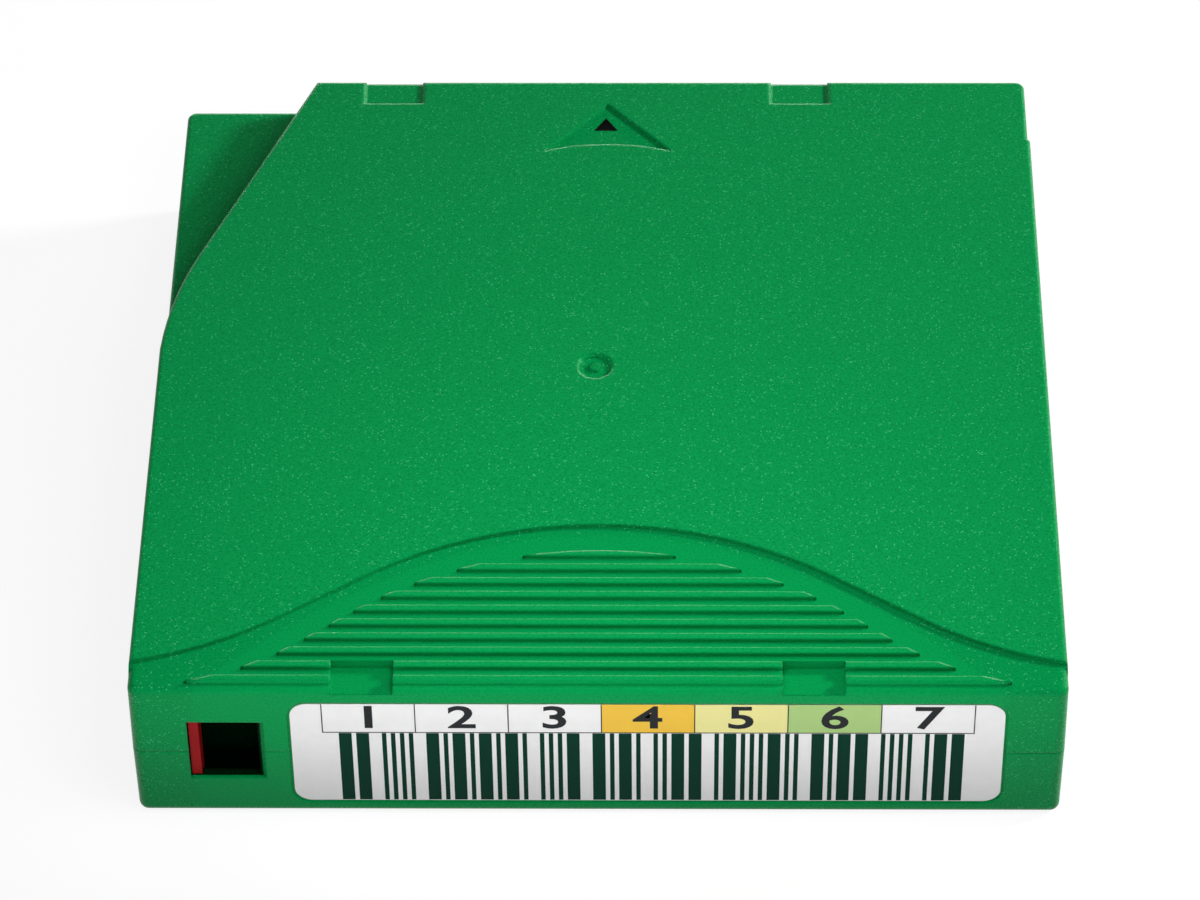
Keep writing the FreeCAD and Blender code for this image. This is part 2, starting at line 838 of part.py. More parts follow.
def pin_cradle():
    """Plan of the horseshoe wall round one end of the leader pin, open towards the door."""
    lip = PIN_X + cell("cradle_lip")
    outer = Bend(CRADLE_OUTER)
    inner = Bend(CRADLE_INNER, False)
    return [
        (lip, PIN_Y + CRADLE_OUTER),
        (PIN_X, PIN_Y + CRADLE_OUTER, outer),
        (PIN_X - CRADLE_OUTER, PIN_Y, outer),
        (PIN_X, PIN_Y - CRADLE_OUTER),
        (lip, PIN_Y - CRADLE_OUTER),
        (lip, PIN_Y - CRADLE_INNER),
        (PIN_X, PIN_Y - CRADLE_INNER, inner),
        (PIN_X - CRADLE_INNER, PIN_Y, inner),
        (PIN_X, PIN_Y + CRADLE_INNER),
        (lip, PIN_Y + CRADLE_INNER),
    ]


def low_guides(body, start_of):
    """Pin cradle, door rails and tab rail; start_of gives the sketch level for a height."""
    cradle = new_sketch(body, "cradle", height=start_of(cell("cradle_height")))
    draw(cradle, pin_cradle())
    draw(cradle, box(INNER_LEFT - BITE, CHAMBER_RIGHT + BITE, TAB_RAIL,
                     TAB_RAIL + cell("tab_rail_width")))
    pad(body, cradle, cell("cradle_height"))
    rails = new_sketch(body, "rails", height=start_of(cell("rail_height")))
    front_rail = OPENING_FRONT + cell("rail_setback")
    back_rail = PIN_Y + CRADLE_OUTER + GAP
    draw(rails, box(RAIL_INNER, RAIL_OUTER, front_rail, front_rail + cell("rail_length")))
    draw(rails, box(RAIL_INNER, RAIL_OUTER, back_rail, INNER_BACK + BITE))
    pad(body, rails, cell("rail_height"))


def outer_openings(body):
    """Door opening, write-protect window and label recess, as far as they lie in this shell."""
    door = new_sketch(body, "door_opening", "YZ_Plane", HALF_WIDTH + OVERRUN)
    draw(door, rounded_box(OPENING_FRONT, OPENING_BACK, OPENING_LOW, OPENING_HIGH,
                           cell("inner_corner_radius")))
    pocket(body, door, OVERRUN + cell("side_wall") + GAP)
    recess = new_sketch(body, "label_recess", "XZ_Plane", HALF_LENGTH)
    clear = cell("label_clearance")
    left = cell("label_left")
    low = cell("label_bottom")
    draw(recess, rounded_box(left - clear, left + cell("label_width") + clear, low - clear,
                             low + cell("label_height") + clear,
                             cell("label_corner_radius") + clear))
    pocket(body, recess, cell("label_recess_depth"))
    window = new_sketch(body, "window", "XZ_Plane", HALF_LENGTH)
    draw(window, box(cell("window_left"), WINDOW_RIGHT, cell("window_bottom"), WINDOW_TOP))
    pocket(body, window, cell("front_wall") + GAP)
    front = -HALF_LENGTH.value
    edge_x = WINDOW_RIGHT.value
    bevel_edges(body, "window_bevel", cell("window_bevel"),
                lambda edge, middle: near(middle.x, edge_x) and near(middle.y, front, 0.2)
                and edge.BoundBox.ZLength > 1)


# ---------------------------------------------------------------- upper shell

def build_upper_shell():
    """Top half of the case with its wave step, ribs, notches and insertion guide."""
    body = new_body("upper_shell")
    base = new_sketch(body, "base", height=PARTING)
    draw(base, case_outline())
    pad(body, base, TOP - PARTING, draft=cell("draft_angle"))
    bevel_seam(body)

    guide = new_sketch(body, "guide", height=TOP)
    draw(guide, guide_outline())
    pocket(body, guide, cell("guide_depth"))

    reach = HALF_WIDTH + OVERRUN / 4
    ahead = -HALF_LENGTH - OVERRUN
    # the step's wall is upright above and slopes out at its foot
    foot = cell("wave_foot_height")
    low_field = wave_curve(reach) + [(-reach, ahead), (reach, ahead)]
    wave = new_sketch(body, "wave", height=TOP)
    draw(wave, low_field)
    pocket(body, wave, cell("wave_depth") - foot)
    wave_foot = new_sketch(body, "wave_foot", height=RECESS_LEVEL + foot)
    draw(wave_foot, low_field)
    pocket(body, wave_foot, foot, draft=cell("wave_foot_slope"))

    cut_notches(body, "back", HALF_LENGTH - cell("back_notch_length"), HALF_LENGTH + OVERRUN)
    round_case_top(body)

    low_hollow = new_sketch(body, "low_hollow", height=PARTING)
    draw(low_hollow, inner_outline())
    pocket(body, low_hollow, GUIDE_ROOF - PARTING, up=True)
    high_hollow = new_sketch(body, "high_hollow", height=PARTING)
    draw(high_hollow, upper_hollow_outline())
    pocket(body, high_hollow, ROOF - PARTING, up=True)

    inner_walls(body, PARTING, ROOF)
    bosses = new_sketch(body, "bosses", height=PARTING)
    for x, y in SCREW_PLACES[:3]:
        draw_circle(bosses, x, y, cell("boss_radius"))
    pad(body, bosses, ROOF - PARTING)
    guide_boss = new_sketch(body, "guide_boss", height=PARTING)
    draw_circle(guide_boss, SCREW_PLACES[3][0], SCREW_PLACES[3][1], cell("boss_radius"))
    pad(body, guide_boss, GUIDE_ROOF - PARTING)
    pilots = new_sketch(body, "pilots", height=PARTING)
    for x, y in SCREW_PLACES:
        draw_circle(pilots, x, y, cell("screw_shank_radius") - cell("screw_pilot_bite"))
    pocket(body, pilots, SCREW_TIP + cell("screw_tip_gap") - PARTING, up=True)

    low_guides(body, lambda height: ROOF - height)
    add_brake_key(body)
    outer_openings(body)

    add_ribs(body, reach)
    cut_notches(body, "front", -HALF_LENGTH - OVERRUN, cell("front_notch_length") - HALF_LENGTH)
    cut_arrow(body)
    cut_gate(body)
    return body


def round_case_top(body):
    """Round the top edges: the low front field, the high sides and back, and the guide corner."""
    recess = RECESS_LEVEL.value
    top = TOP.value
    level = GUIDE_LEVEL.value
    side = HALF_WIDTH.value - 0.6
    front = -HALF_LENGTH.value + 1.0
    back = HALF_LENGTH.value - 0.6
    notch_line = (HALF_LENGTH - cell("back_notch_length")).value - 0.1
    round_edges(body, "front_round", cell("front_rounding"),
                lambda edge, middle: near(middle.z, recess)
                and (middle.y < front or abs(middle.x) > side))
    round_edges(body, "guide_round", cell("guide_rounding"),
                lambda edge, middle: near(middle.z, level)
                and (middle.y > back or middle.x < -side))
    round_edges(body, "top_round", cell("guide_rounding"),
                lambda edge, middle: near(middle.z, top) and edge.BoundBox.ZLength < 0.01
                and (middle.y > notch_line or abs(middle.x) > side
                     or (middle.y > 0 and on_guide_edge(middle))))


def on_guide_edge(spot):
    """Whether a spot lies on the insertion guide's arc or on its tangent."""
    turned = V(spot.x - REEL_X.value, spot.y - REEL_Y.value, 0)
    outward = turned.x * GUIDE_COS.value + turned.y * GUIDE_SIN.value
    return near(turned.Length, GUIDE_RADIUS.value) or near(outward, GUIDE_RADIUS.value)


def add_ribs(body, reach):
    """Grip ribs in a row, cut off where the curve of the rib field crosses them."""
    half = HALF_WIDTH - 2 * cell("front_rounding")
    radius = cell("rib_rounding")
    back = RIB_LAST_FRONT + cell("rib_width")
    bend = Bend(radius)
    section = new_sketch(body, "rib", "YZ_Plane", -half)
    draw(section, [
        (RIB_LAST_FRONT, RECESS_LEVEL),
        (back, RECESS_LEVEL),
        (back, TOP - radius, bend),
        (back - radius, TOP),
        (RIB_LAST_FRONT + radius, TOP, bend),
        (RIB_LAST_FRONT, TOP - radius),
    ])
    rib = pad(body, section, 2 * half)
    in_row(body, rib, cell("rib_count"), cell("rib_pitch"), "Y_Axis")
    trim = new_sketch(body, "rib_trim", height=TOP)
    draw(trim, wave_curve(reach) + rib_end_curve(reach))
    pocket(body, trim, cell("wave_depth"))


def cut_notches(body, end, low, high):
    """The pair of shallow notches in the top edge at one end of the case."""
    half = cell("notch_width") / 2
    sketch = new_sketch(body, f"{end}_notches", height=TOP)
    for side in (-1, 1):
        middle = cell("notch_offset") + side * cell("notch_spacing") / 2
        draw(sketch, box(middle - half, middle + half, low, high))
    pocket(body, sketch, cell(f"{end}_notch_depth"))


def cut_arrow(body):
    """The arrow-head recess that points to the insertion end."""
    apex = HALF_LENGTH - cell("arrow_inset")
    foot = apex - cell("arrow_length")
    half = cell("arrow_half_width")
    sag = cell("arrow_sag")
    radius = (half * half + sag * sag) / (2 * sag)
    middle = cell("arrow_offset")
    sketch = new_sketch(body, "arrow", height=TOP)
    draw(sketch, [
        (middle, apex),
        (middle - half, foot, Bend(radius, False)),
        (middle + half, foot),
    ])
    pocket(body, sketch, cell("arrow_depth"))
    top = TOP.value
    low = foot.value - sag.value
    round_edges(body, "arrow_round", cell("arrow_rounding"),
                lambda edge, middle: near(middle.z, top) and abs(middle.x) < half.value
                and low < middle.y < apex.value)


def cut_gate(body):
    """The round dimple over the reel axis with the gate's nub in it."""
    sketch = new_sketch(body, "gate", height=TOP)
    draw_circle(sketch, REEL_X, REEL_Y, cell("gate_radius"))
    pocket(body, sketch, cell("gate_depth"))
    radius = cell("gate_radius").value
    top = TOP.value
    bevel_edges(body, "gate_bevel", cell("gate_bevel"),
                lambda edge, middle: near(middle.z, top)
                and near(math.hypot(middle.x - REEL_X.value, middle.y - REEL_Y.value), radius, 0.05))
    nub = new_sketch(body, "gate_nub", height=TOP - cell("gate_depth"))
    draw_circle(nub, REEL_X, REEL_Y, cell("gate_nub_radius"))
    pad(body, nub, cell("gate_nub_height"))


def add_brake_key(body):
    """The cross under the roof that keeps the brake disc from turning, and the spring's collar."""
    long = cell("key_half_length")
    half = cell("key_width") / 2
    sketch = new_sketch(body, "brake_key", height=KEY_LOW)
    draw(sketch, cross_outline(REEL_X, REEL_Y, long, half))
    pad(body, sketch, ROOF - KEY_LOW)
    inner = cell("brake_spring_radius") + cell("brake_spring_wire") / 2 + cell("key_gap")
    collar = new_sketch(body, "spring_collar", height=ROOF - cell("collar_height"))
    draw_circle(collar, REEL_X, REEL_Y, inner)
    draw_circle(collar, REEL_X, REEL_Y, inner + cell("collar_wall"))
    pad(body, collar, cell("collar_height"))


def cross_outline(x, y, long, half):
    """Corners of an upright cross."""
    return [
        (x - half, y - long), (x + half, y - long), (x + half, y - half),
        (x + long, y - half), (x + long, y + half), (x + half, y + half),
        (x + half, y + long), (x - half, y + long), (x - half, y + half),
        (x - long, y + half), (x - long, y - half), (x - half, y - half),
    ]


# ---------------------------------------------------------------- lower shell

def build_lower_shell():
    """Bottom half of the case with the spindle opening, datum hole and slot, and bosses."""
    body = new_body("lower_shell")
    base = new_sketch(body, "base", height=PARTING)
    draw(base, case_outline())
    pad(body, base, PARTING, down=True, draft=cell("draft_angle"))
    bevel_seam(body)
    round_edges(body, "bottom_round", cell("bottom_rounding"),
                lambda edge, middle: near(middle.z, 0.0))

    hollow = new_sketch(body, "hollow", height=PARTING)
    draw(hollow, inner_outline())
    pocket(body, hollow, PARTING - FLOOR)
    spindle = new_sketch(body, "spindle", height=FLOOR)
    draw_circle(spindle, REEL_X, REEL_Y, cell("spindle_radius"))
    pocket(body, spindle, FLOOR + OVERRUN)
    bevel_edges(body, "spindle_bevel", cell("spindle_chamfer"),
                lambda edge, middle: near(middle.z, 0.0)
                and near(edge.Length, 2 * math.pi * cell("spindle_radius").value, 0.01))

    seat = new_sketch(body, "reel_seat", height=FLOOR)
    seat_inner = cell("spindle_radius") + cell("seat_gap")
    draw_circle(seat, REEL_X, REEL_Y, seat_inner)
    draw_circle(seat, REEL_X, REEL_Y, seat_inner + cell("seat_width"))
    pad(body, seat, FLANGE_LOW - FLOOR)

    inner_walls(body, FLOOR, PARTING)
    add_lower_bosses(body)
    add_datum_cups(body)
    low_guides(body, lambda height: FLOOR)
    add_spring_channel(body)
    add_chip_holder(body)
    outer_openings(body)
    return body


def add_lower_bosses(body):
    """Screw bosses, their holes and the counterbores that hide the heads."""
    bosses = new_sketch(body, "bosses", height=FLOOR)
    for x, y in SCREW_PLACES:
        draw_circle(bosses, x, y, cell("boss_radius"))
    pad(body, bosses, PARTING - FLOOR)
    holes = new_sketch(body, "screw_holes", height=PARTING)
    for x, y in SCREW_PLACES:
        draw_circle(holes, x, y, cell("screw_shank_radius") + cell("screw_hole_gap"))
    pocket(body, holes, PARTING + OVERRUN)
    sinks = new_sketch(body, "screw_sinks")
    for x, y in SCREW_PLACES:
        draw_circle(sinks, x, y, cell("screw_head_radius") + cell("screw_head_gap"))
    pocket(body, sinks, SCREW_SEAT, up=True)


def slot_outline(x, y, half_length, radius):
    """Corners of a slot with round ends, along X."""
    straight = half_length - radius
    bend = Bend(radius)
    return [
        (x - straight, y - radius),
        (x + straight, y - radius, bend),
        (x + half_length, y, bend),
        (x + straight, y + radius),
        (x - straight, y + radius, bend),
        (x - half_length, y, bend),
    ]


def add_datum_cups(body):
    """The round datum hole and the datum slot that a drive's pins enter from below."""
    radius = cell("datum_radius")
    wall = cell("datum_cup_wall")
    half_slot = cell("datum_slot_length") / 2
    cups = new_sketch(body, "datum_cups", height=FLOOR)
    draw_circle(cups, DATUM_HOLE_X, DATUM_Y, radius + wall)
    draw(cups, slot_outline(DATUM_SLOT_X, DATUM_Y, half_slot + wall, radius + wall))
    pad(body, cups, cell("datum_depth") + wall - FLOOR)
    holes = new_sketch(body, "datum_holes")
    draw_circle(holes, DATUM_HOLE_X, DATUM_Y, radius)
    draw(holes, slot_outline(DATUM_SLOT_X, DATUM_Y, half_slot, radius))
    pocket(body, holes, cell("datum_depth"), up=True)


def add_spring_channel(body):
    """The rib and the stop that keep the door spring in its channel."""
    sketch = new_sketch(body, "spring_channel", height=FLOOR)
    draw(sketch, [
        (KEEPER_INNER, STOP_FRONT),
        (INNER_RIGHT + BITE, STOP_FRONT),
        (INNER_RIGHT + BITE, STOP_BACK),
        (KEEPER_OUTER, STOP_BACK),
        (KEEPER_OUTER, DOOR_FRONT),
        (KEEPER_INNER, DOOR_FRONT),
    ])
    pad(body, sketch, cell("spring_stop_height"))


def slanted_box(x, y, half_length, half_width):
    """Corners of a box turned by 45 degrees, long side from lower left to upper right."""
    turn = math.sqrt(0.5)
    along = half_length * turn
    across = half_width * turn
    return [
        (x - along + across, y - along - across),
        (x + along + across, y + along - across),
        (x + along - across, y + along + across),
        (x - along - across, y - along + across),
    ]


def add_chip_holder(body):
    """The slanting frame on the floor that holds the memory chip on edge."""
    half_length = cell("chip_length") / 2 + cell("chip_gap")
    half_width = cell("chip_thickness") / 2 + cell("chip_gap")
    wall = cell("chip_holder_wall")
    sketch = new_sketch(body, "chip_holder", height=FLOOR)
    draw(sketch, slanted_box(CHIP_X, CHIP_Y, half_length + wall, half_width + wall))
    draw(sketch, slanted_box(CHIP_X, CHIP_Y, half_length, half_width))
    pad(body, sketch, cell("chip_holder_height"))


# ---------------------------------------------------------------- pieces of the case

def build_screw(number, x, y):
    """A pan-head screw, driven upwards from the underside."""
    body = new_body(f"case_screw_{number}")
    shank = cell("screw_shank_radius")
    low = cell("screw_head_depth")
    section = new_sketch(body, "section", "XZ_Plane")
    draw(section, [
        (0, low),
        (cell("screw_head_radius"), low),
        (cell("screw_head_radius"), SCREW_SEAT),
        (shank, SCREW_SEAT),
        (shank, SCREW_TIP - shank),
        (cell("screw_point_radius"), SCREW_TIP),
        (0, SCREW_TIP),
    ])
    revolve(body, section)
    socket = new_sketch(body, "socket", height=low)
    points = 6
    radius = cell("screw_socket_radius")
    draw(socket, [(radius * math.cos(math.pi * index / 3), radius * math.sin(math.pi * index / 3))
                  for index in range(points)])
    pocket(body, socket, cell("screw_socket_depth"), up=True)
    put(body, x, y)
    return body


def build_label():
    """The thin label that lies in the front recess."""
    body = new_body("barcode_label")
    sketch = new_sketch(body, "outline", "XZ_Plane", HALF_LENGTH - cell("label_recess_depth"))
    left = cell("label_left")
    low = cell("label_bottom")
    draw(sketch, rounded_box(left, left + cell("label_width"), low, low + cell("label_height"),
                             cell("label_corner_radius")))
    pad(body, sketch, cell("label_thickness"))
    return body


def build_chip():
    """The memory chip's plate, standing on edge across the corner."""
    body = new_body("memory_chip")
    sketch = new_sketch(body, "outline", height=FLOOR)
    draw(sketch, slanted_box(CHIP_X, CHIP_Y, cell("chip_length") / 2, cell("chip_thickness") / 2))
    pad(body, sketch, cell("chip_height"))
    return body


def build_tab():
    """The red write-protect slider: a plate behind the wall and a lug that stands in the window."""
    body = new_body("write_protect_tab")
    right = cell("window_left") + cell("tab_gap") + cell("tab_lug_width")
    left = right - cell("tab_width")
    plate = new_sketch(body, "plate", "XZ_Plane", -TAB_BACK)
    draw(plate, box(left, right, FLOOR + GAP, ROOF - GAP))
    pad(body, plate, cell("tab_thickness"))
    lug = new_sketch(body, "lug", "XZ_Plane", -TAB_FRONT - cell("tab_gap"))
    draw(lug, box(right - cell("tab_lug_width"), right, cell("window_bottom") + GAP,
                  WINDOW_TOP - GAP))
    pad(body, lug, cell("tab_lug_proud"))
    return body


def build_door():
    """The sliding door: a plate, the foot that the spring pushes and the opener's groove."""
    body = new_body("door")
    plate = new_sketch(body, "plate", "YZ_Plane", DOOR_INNER)
    draw(plate, rounded_box(DOOR_FRONT, DOOR_BACK, FLOOR + GAP, ROOF - GAP,
                            cell("inner_corner_radius") / 2))
    pad(body, plate, cell("door_thickness"))
    foot = new_sketch(body, "foot", "YZ_Plane", FOOT_INNER)
    draw(foot, box(DOOR_FRONT, DOOR_FRONT + cell("door_foot_length"), FLOOR + GAP,
                   FLOOR + GAP + cell("door_foot_height")))
    pad(body, foot, cell("door_foot_width"))
    groove = new_sketch(body, "groove", "YZ_Plane", DOOR_OUTER)
    back = DOOR_BACK - cell("door_groove_inset")
    margin = cell("door_groove_margin")
    draw(groove, box(back - cell("door_groove_width"), back, OPENING_LOW + margin,
                     OPENING_HIGH - margin))
    pocket(body, groove, cell("door_groove_depth"))
    return body


def build_coil(label, radius, wire, turns, length):
    """A coil spring of square wire along its own Z axis, from 0 to its length."""
    body = new_body(label)
    half = wire / 2
    section = new_sketch(body, "wire", "XZ_Plane")
    draw(section, box(radius - half, radius + half, 0, wire))
    feature = body.newObject("PartDesign::AdditiveHelix", f"{label}_coil")
    feature.Profile = section
    feature.ReferenceAxis = (section, ["V_Axis"])
    feature.Mode = "height-turns-angle"
    bind(feature, "Height", length - wire)
    bind(feature, "Turns", turns)
    body.Tip = feature
    doc.recompute()
    return body


def build_springs():
    """The brake spring about the reel axis, and the door spring lying along the channel."""
    low = BRAKE_TOP + cell("spring_end_gap")
    brake = build_coil("brake_spring", cell("brake_spring_radius"), cell("brake_spring_wire"),
                       cell("brake_spring_turns"), ROOF - cell("spring_end_gap") - low)
    put(brake, REEL_X, REEL_Y, low)
    start = STOP_BACK + cell("spring_end_gap")
    door = build_coil("door_spring", cell("door_spring_radius"), cell("door_spring_wire"),
                      cell("door_spring_turns"), DOOR_FRONT - cell("spring_end_gap") - start)
    door.Placement = FreeCAD.Placement(V(0, 0, 0), FreeCAD.Rotation(V(1, 0, 0), -90))
    outer = cell("door_spring_radius") + cell("door_spring_wire") / 2
    gap = cell("door_spring_gap")
    put(door, KEEPER_OUTER + outer + gap, start, FLOOR + outer + gap)


# ---------------------------------------------------------------- leader

def build_pin():
    """The steel leader pin with a disc at each end."""
    body = new_body("leader_pin")
    section = new_sketch(body, "section", "XZ_Plane")
    disc = cell("pin_disc_radius")
    neck = cell("pin_neck_radius")
    thick = cell("pin_disc_thickness")
    draw(section, [
        (0, PIN_LOW),
        (disc, PIN_LOW),
        (disc, PIN_LOW + thick),
        (neck, PIN_LOW + thick),
        (neck, PIN_HIGH - thick),
        (disc, PIN_HIGH - thick),
        (disc, PIN_HIGH),
        (0, PIN_HIGH),
    ])
    revolve(body, section)
    put(body, PIN_X, PIN_Y)
    return body


def tape_direction():
    """Where the tape leaves the pack for the pin, and the unit vector of its run."""
    radius = cell("pack_radius") + cell("leader_gap") + cell("tape_thickness") / 2
    across = PIN_X - REEL_X
    along = PIN_Y - REEL_Y
    square = across * across + along * along
    reach = root(square - radius * radius)
    touch_x = REEL_X + radius * (radius * across - reach * along) / square
    touch_y = REEL_Y + radius * (radius * along + reach * across) / square
    return touch_x, touch_y, (PIN_X - touch_x) / reach, (PIN_Y - touch_y) / reach


def build_clip():
    """The plastic clip round the pin, open towards the door."""
    body = new_body("tape_clip")
    sketch = new_sketch(body, "ring", height=TAPE_LOW)
    inner = cell("pin_neck_radius")
    draw(sketch, ring_sector(as_size(0), as_size(0), inner, inner + cell("clip_wall"),
                             cell("clip_mouth") / 2, 360 - cell("clip_mouth") / 2))
    pad(body, sketch, cell("tape_width"))
    put(body, PIN_X, PIN_Y)
    return body


def build_leader():
    """The straight run of tape from the pack to the clip on the pin."""
    body = new_body("leader_tape")
    touch_x, touch_y, run_x, run_y = tape_direction()
    half = cell("tape_thickness") / 2
    clear = cell("pin_neck_radius") + cell("clip_wall")
    end_x = PIN_X - clear * run_x
    end_y = PIN_Y - clear * run_y
    sketch = new_sketch(body, "run", height=TAPE_LOW)
    draw(sketch, [
        (touch_x + half * run_y, touch_y - half * run_x),
        (end_x + half * run_y, end_y - half * run_x),
        (end_x - half * run_y, end_y + half * run_x),
        (touch_x - half * run_y, touch_y + half * run_x),
    ])
    pad(body, sketch, cell("tape_width"))
    return body


def build_pin_spring():
    """A bent square wire whose two arms bear on the pin's neck, above and below the tape."""
    body = new_body("pin_spring")
    level = (PIN_LOW + cell("pin_disc_thickness") + TAPE_LOW) / 2
    top = PIN_LOW + PIN_HIGH - level
    tip = PIN_Y - cell("pin_neck_radius")
    back = PIN_SPRING_BACK
    bend = cell("pin_spring_bend")
    path = new_sketch(body, "path", "YZ_Plane", PIN_X)
    open_path(path, [
        (tip, level), (back + bend, level, Bend(bend, False)), (back, level + bend),
        (back, top - bend, Bend(bend, False)), (back + bend, top), (tip, top),
    ])
    wire = new_sketch(body, "wire", "XZ_Plane", -tip)
    draw(wire, box(PIN_X - SPRING_WIRE_HALF, PIN_X + SPRING_WIRE_HALF,
                   level - SPRING_WIRE_HALF, level + SPRING_WIRE_HALF))
    feature = body.newObject("PartDesign::AdditivePipe", "pin_spring_wire")
    feature.Profile = wire
    feature.Spine = path
    body.Tip = feature
    doc.recompute()
    return body


def open_path(sketch, corners):
    """Draw an open run through corners, with a Bend where an arc sets off."""
    spots = [V(as_size(corner[0]).value, as_size(corner[1]).value, 0) for corner in corners]
    previous = None
    for index, corner in enumerate(corners[:-1]):
        start, end = spots[index], spots[index + 1]
        stretch = add_arc(sketch, start, end, corner[2]) if len(corner) == 3 \
            else add_line(sketch, start, end)
        hold(sketch, stretch[0], stretch[1], corner[0], corner[1])
        if previous:
            joint = Sketcher.Constraint("Coincident", previous[0], previous[2], stretch[0], stretch[1])
            sketch.addConstraint(joint)
        previous = stretch
    hold(sketch, previous[0], previous[2], corners[-1][0], corners[-1][1])


# ---------------------------------------------------------------- reel

def tooth_ring(body, name, level, tip_level, base, tip, inner, outer, count, turn=None):
    """A ring of straight teeth from one level to another, the first one turned from the X axis."""
    sketch = new_sketch(body, name, "YZ_Plane", inner)
    if turn is not None:
        sketch.AttachmentOffset = FreeCAD.Placement(V(0, 0, 0), FreeCAD.Rotation(V(0, 1, 0), turn.value))
        bind(sketch, ".AttachmentOffset.Rotation.Angle", turn)
        bind(sketch, ".AttachmentOffset.Base.x", inner * sine(turn))
        bind(sketch, ".AttachmentOffset.Base.z", inner * cosine(turn))
    draw(sketch, [
        (-base / 2, level), (base / 2, level), (tip / 2, tip_level), (-tip / 2, tip_level),
    ])
    tooth = pad(body, sketch, outer - inner)
    return around(body, tooth, count)


def build_hub():
    """Hub, lower flange, drive teeth and brake teeth in one moulding."""
    body = new_body("reel_hub")
    section = new_sketch(body, "section", "XZ_Plane")
    hub = cell("hub_radius")
    draw(section, [
        (0, FLANGE_LOW),
        (cell("flange_radius"), FLANGE_LOW),
        (cell("flange_radius"), FLANGE_TOP),
        (hub, FLANGE_TOP),
        (hub, UPPER_FLANGE_LOW),
        (HUB_INNER, UPPER_FLANGE_LOW),
        (HUB_INNER, HUB_FLOOR_TOP),
        (cell("brake_ring_outer"), HUB_FLOOR_TOP),
        (cell("brake_ring_outer"), BRAKE_RING_TOP),
        (cell("brake_ring_inner"), BRAKE_RING_TOP),
        (cell("brake_ring_inner"), HUB_FLOOR_TOP),
        (0, HUB_FLOOR_TOP),
    ])
    revolve(body, section)
    tooth_ring(body, "drive_tooth", FLANGE_LOW, FLANGE_LOW - cell("drive_tooth_height"),
               cell("drive_tooth_base"), cell("drive_tooth_tip"), cell("drive_tooth_inner"),
               cell("drive_tooth_outer"), cell("drive_teeth"))
    tooth_ring(body, "brake_tooth", BRAKE_RING_TOP, BRAKE_TOOTH_TOP,
               cell("brake_tooth_base"), cell("brake_tooth_tip"), cell("brake_ring_inner"),
               cell("brake_ring_outer"), cell("brake_teeth"))
    # three slots in the brake ring for the release pad's arms
    slot = new_sketch(body, "arm_slot", height=BRAKE_TOOTH_TOP)
    half = cell("pad_arm_half_width") + cell("arm_slot_gap")
    over = cell("arm_slot_overcut")
    draw(slot, box(cell("brake_ring_inner") - over, cell("brake_ring_outer") + over, -half, half))
    cut = pocket(body, slot, BRAKE_TOOTH_TOP - HUB_FLOOR_TOP)
    around(body, cut, 3)
    # three holes through the drive teeth for its legs
    hole = new_sketch(body, "leg_hole", height=HUB_FLOOR_TOP)
    draw_circle(hole, cell("pad_leg_circle"), as_size(0), cell("pad_leg_radius") + cell("leg_hole_gap"))
    cut = pocket(body, hole, HUB_FLOOR_TOP + OVERRUN)
    around(body, cut, 3)
    put(body, REEL_X, REEL_Y)
    return body


def build_upper_flange():
    """The reel's upper flange with the spigot that centres it in the hub."""
    body = new_body("upper_flange")
    outer = HUB_INNER - cell("spigot_gap")
    inner = outer - cell("upper_spigot_wall")
    section = new_sketch(body, "section", "XZ_Plane")
    draw(section, [
        (inner, UPPER_FLANGE_LOW - cell("upper_spigot_depth")),
        (outer, UPPER_FLANGE_LOW - cell("upper_spigot_depth")),
        (outer, UPPER_FLANGE_LOW),
        (cell("flange_radius"), UPPER_FLANGE_LOW),
        (cell("flange_radius"), UPPER_FLANGE_TOP),
        (inner, UPPER_FLANGE_TOP),
    ])
    revolve(body, section)
    put(body, REEL_X, REEL_Y)
    return body


def build_ring(label, inner, outer, low, length):
    """A plain ring about the reel axis."""
    body = new_body(label)
    sketch = new_sketch(body, "ring", height=low)
    draw_circle(sketch, as_size(0), as_size(0), inner)
    draw_circle(sketch, as_size(0), as_size(0), outer)
    pad(body, sketch, length)
    put(body, REEL_X, REEL_Y)
    return body


def build_release_pad():
    """The three-legged pad on the hub's floor."""
    body = new_body("release_pad")
    disc = new_sketch(body, "disc", height=HUB_FLOOR_TOP)
    draw_circle(disc, as_size(0), as_size(0), cell("pad_hub_radius"))
    pad(body, disc, cell("pad_thickness"))
    half = cell("pad_arm_half_width")
    arm = new_sketch(body, "arm", height=HUB_FLOOR_TOP)
    reach = cell("pad_leg_circle")
    draw(arm, [
        (0, -half),
        (reach, -half, Bend(half)),
        (reach + half, 0, Bend(half)),
        (reach, half),
        (0, half),
    ])
    around(body, pad(body, arm, cell("pad_thickness")), 3)
    leg = new_sketch(body, "leg", height=HUB_FLOOR_TOP)
    draw_circle(leg, cell("pad_leg_circle"), as_size(0), cell("pad_leg_radius"))
    around(body, pad(body, leg, cell("pad_leg_below"), down=True), 3)
    boss = new_sketch(body, "boss", height=PAD_TOP)
    draw_circle(boss, as_size(0), as_size(0), cell("pad_boss_radius"))
    pad(body, boss, cell("pad_boss_height"))
    put(body, REEL_X, REEL_Y)
    return body


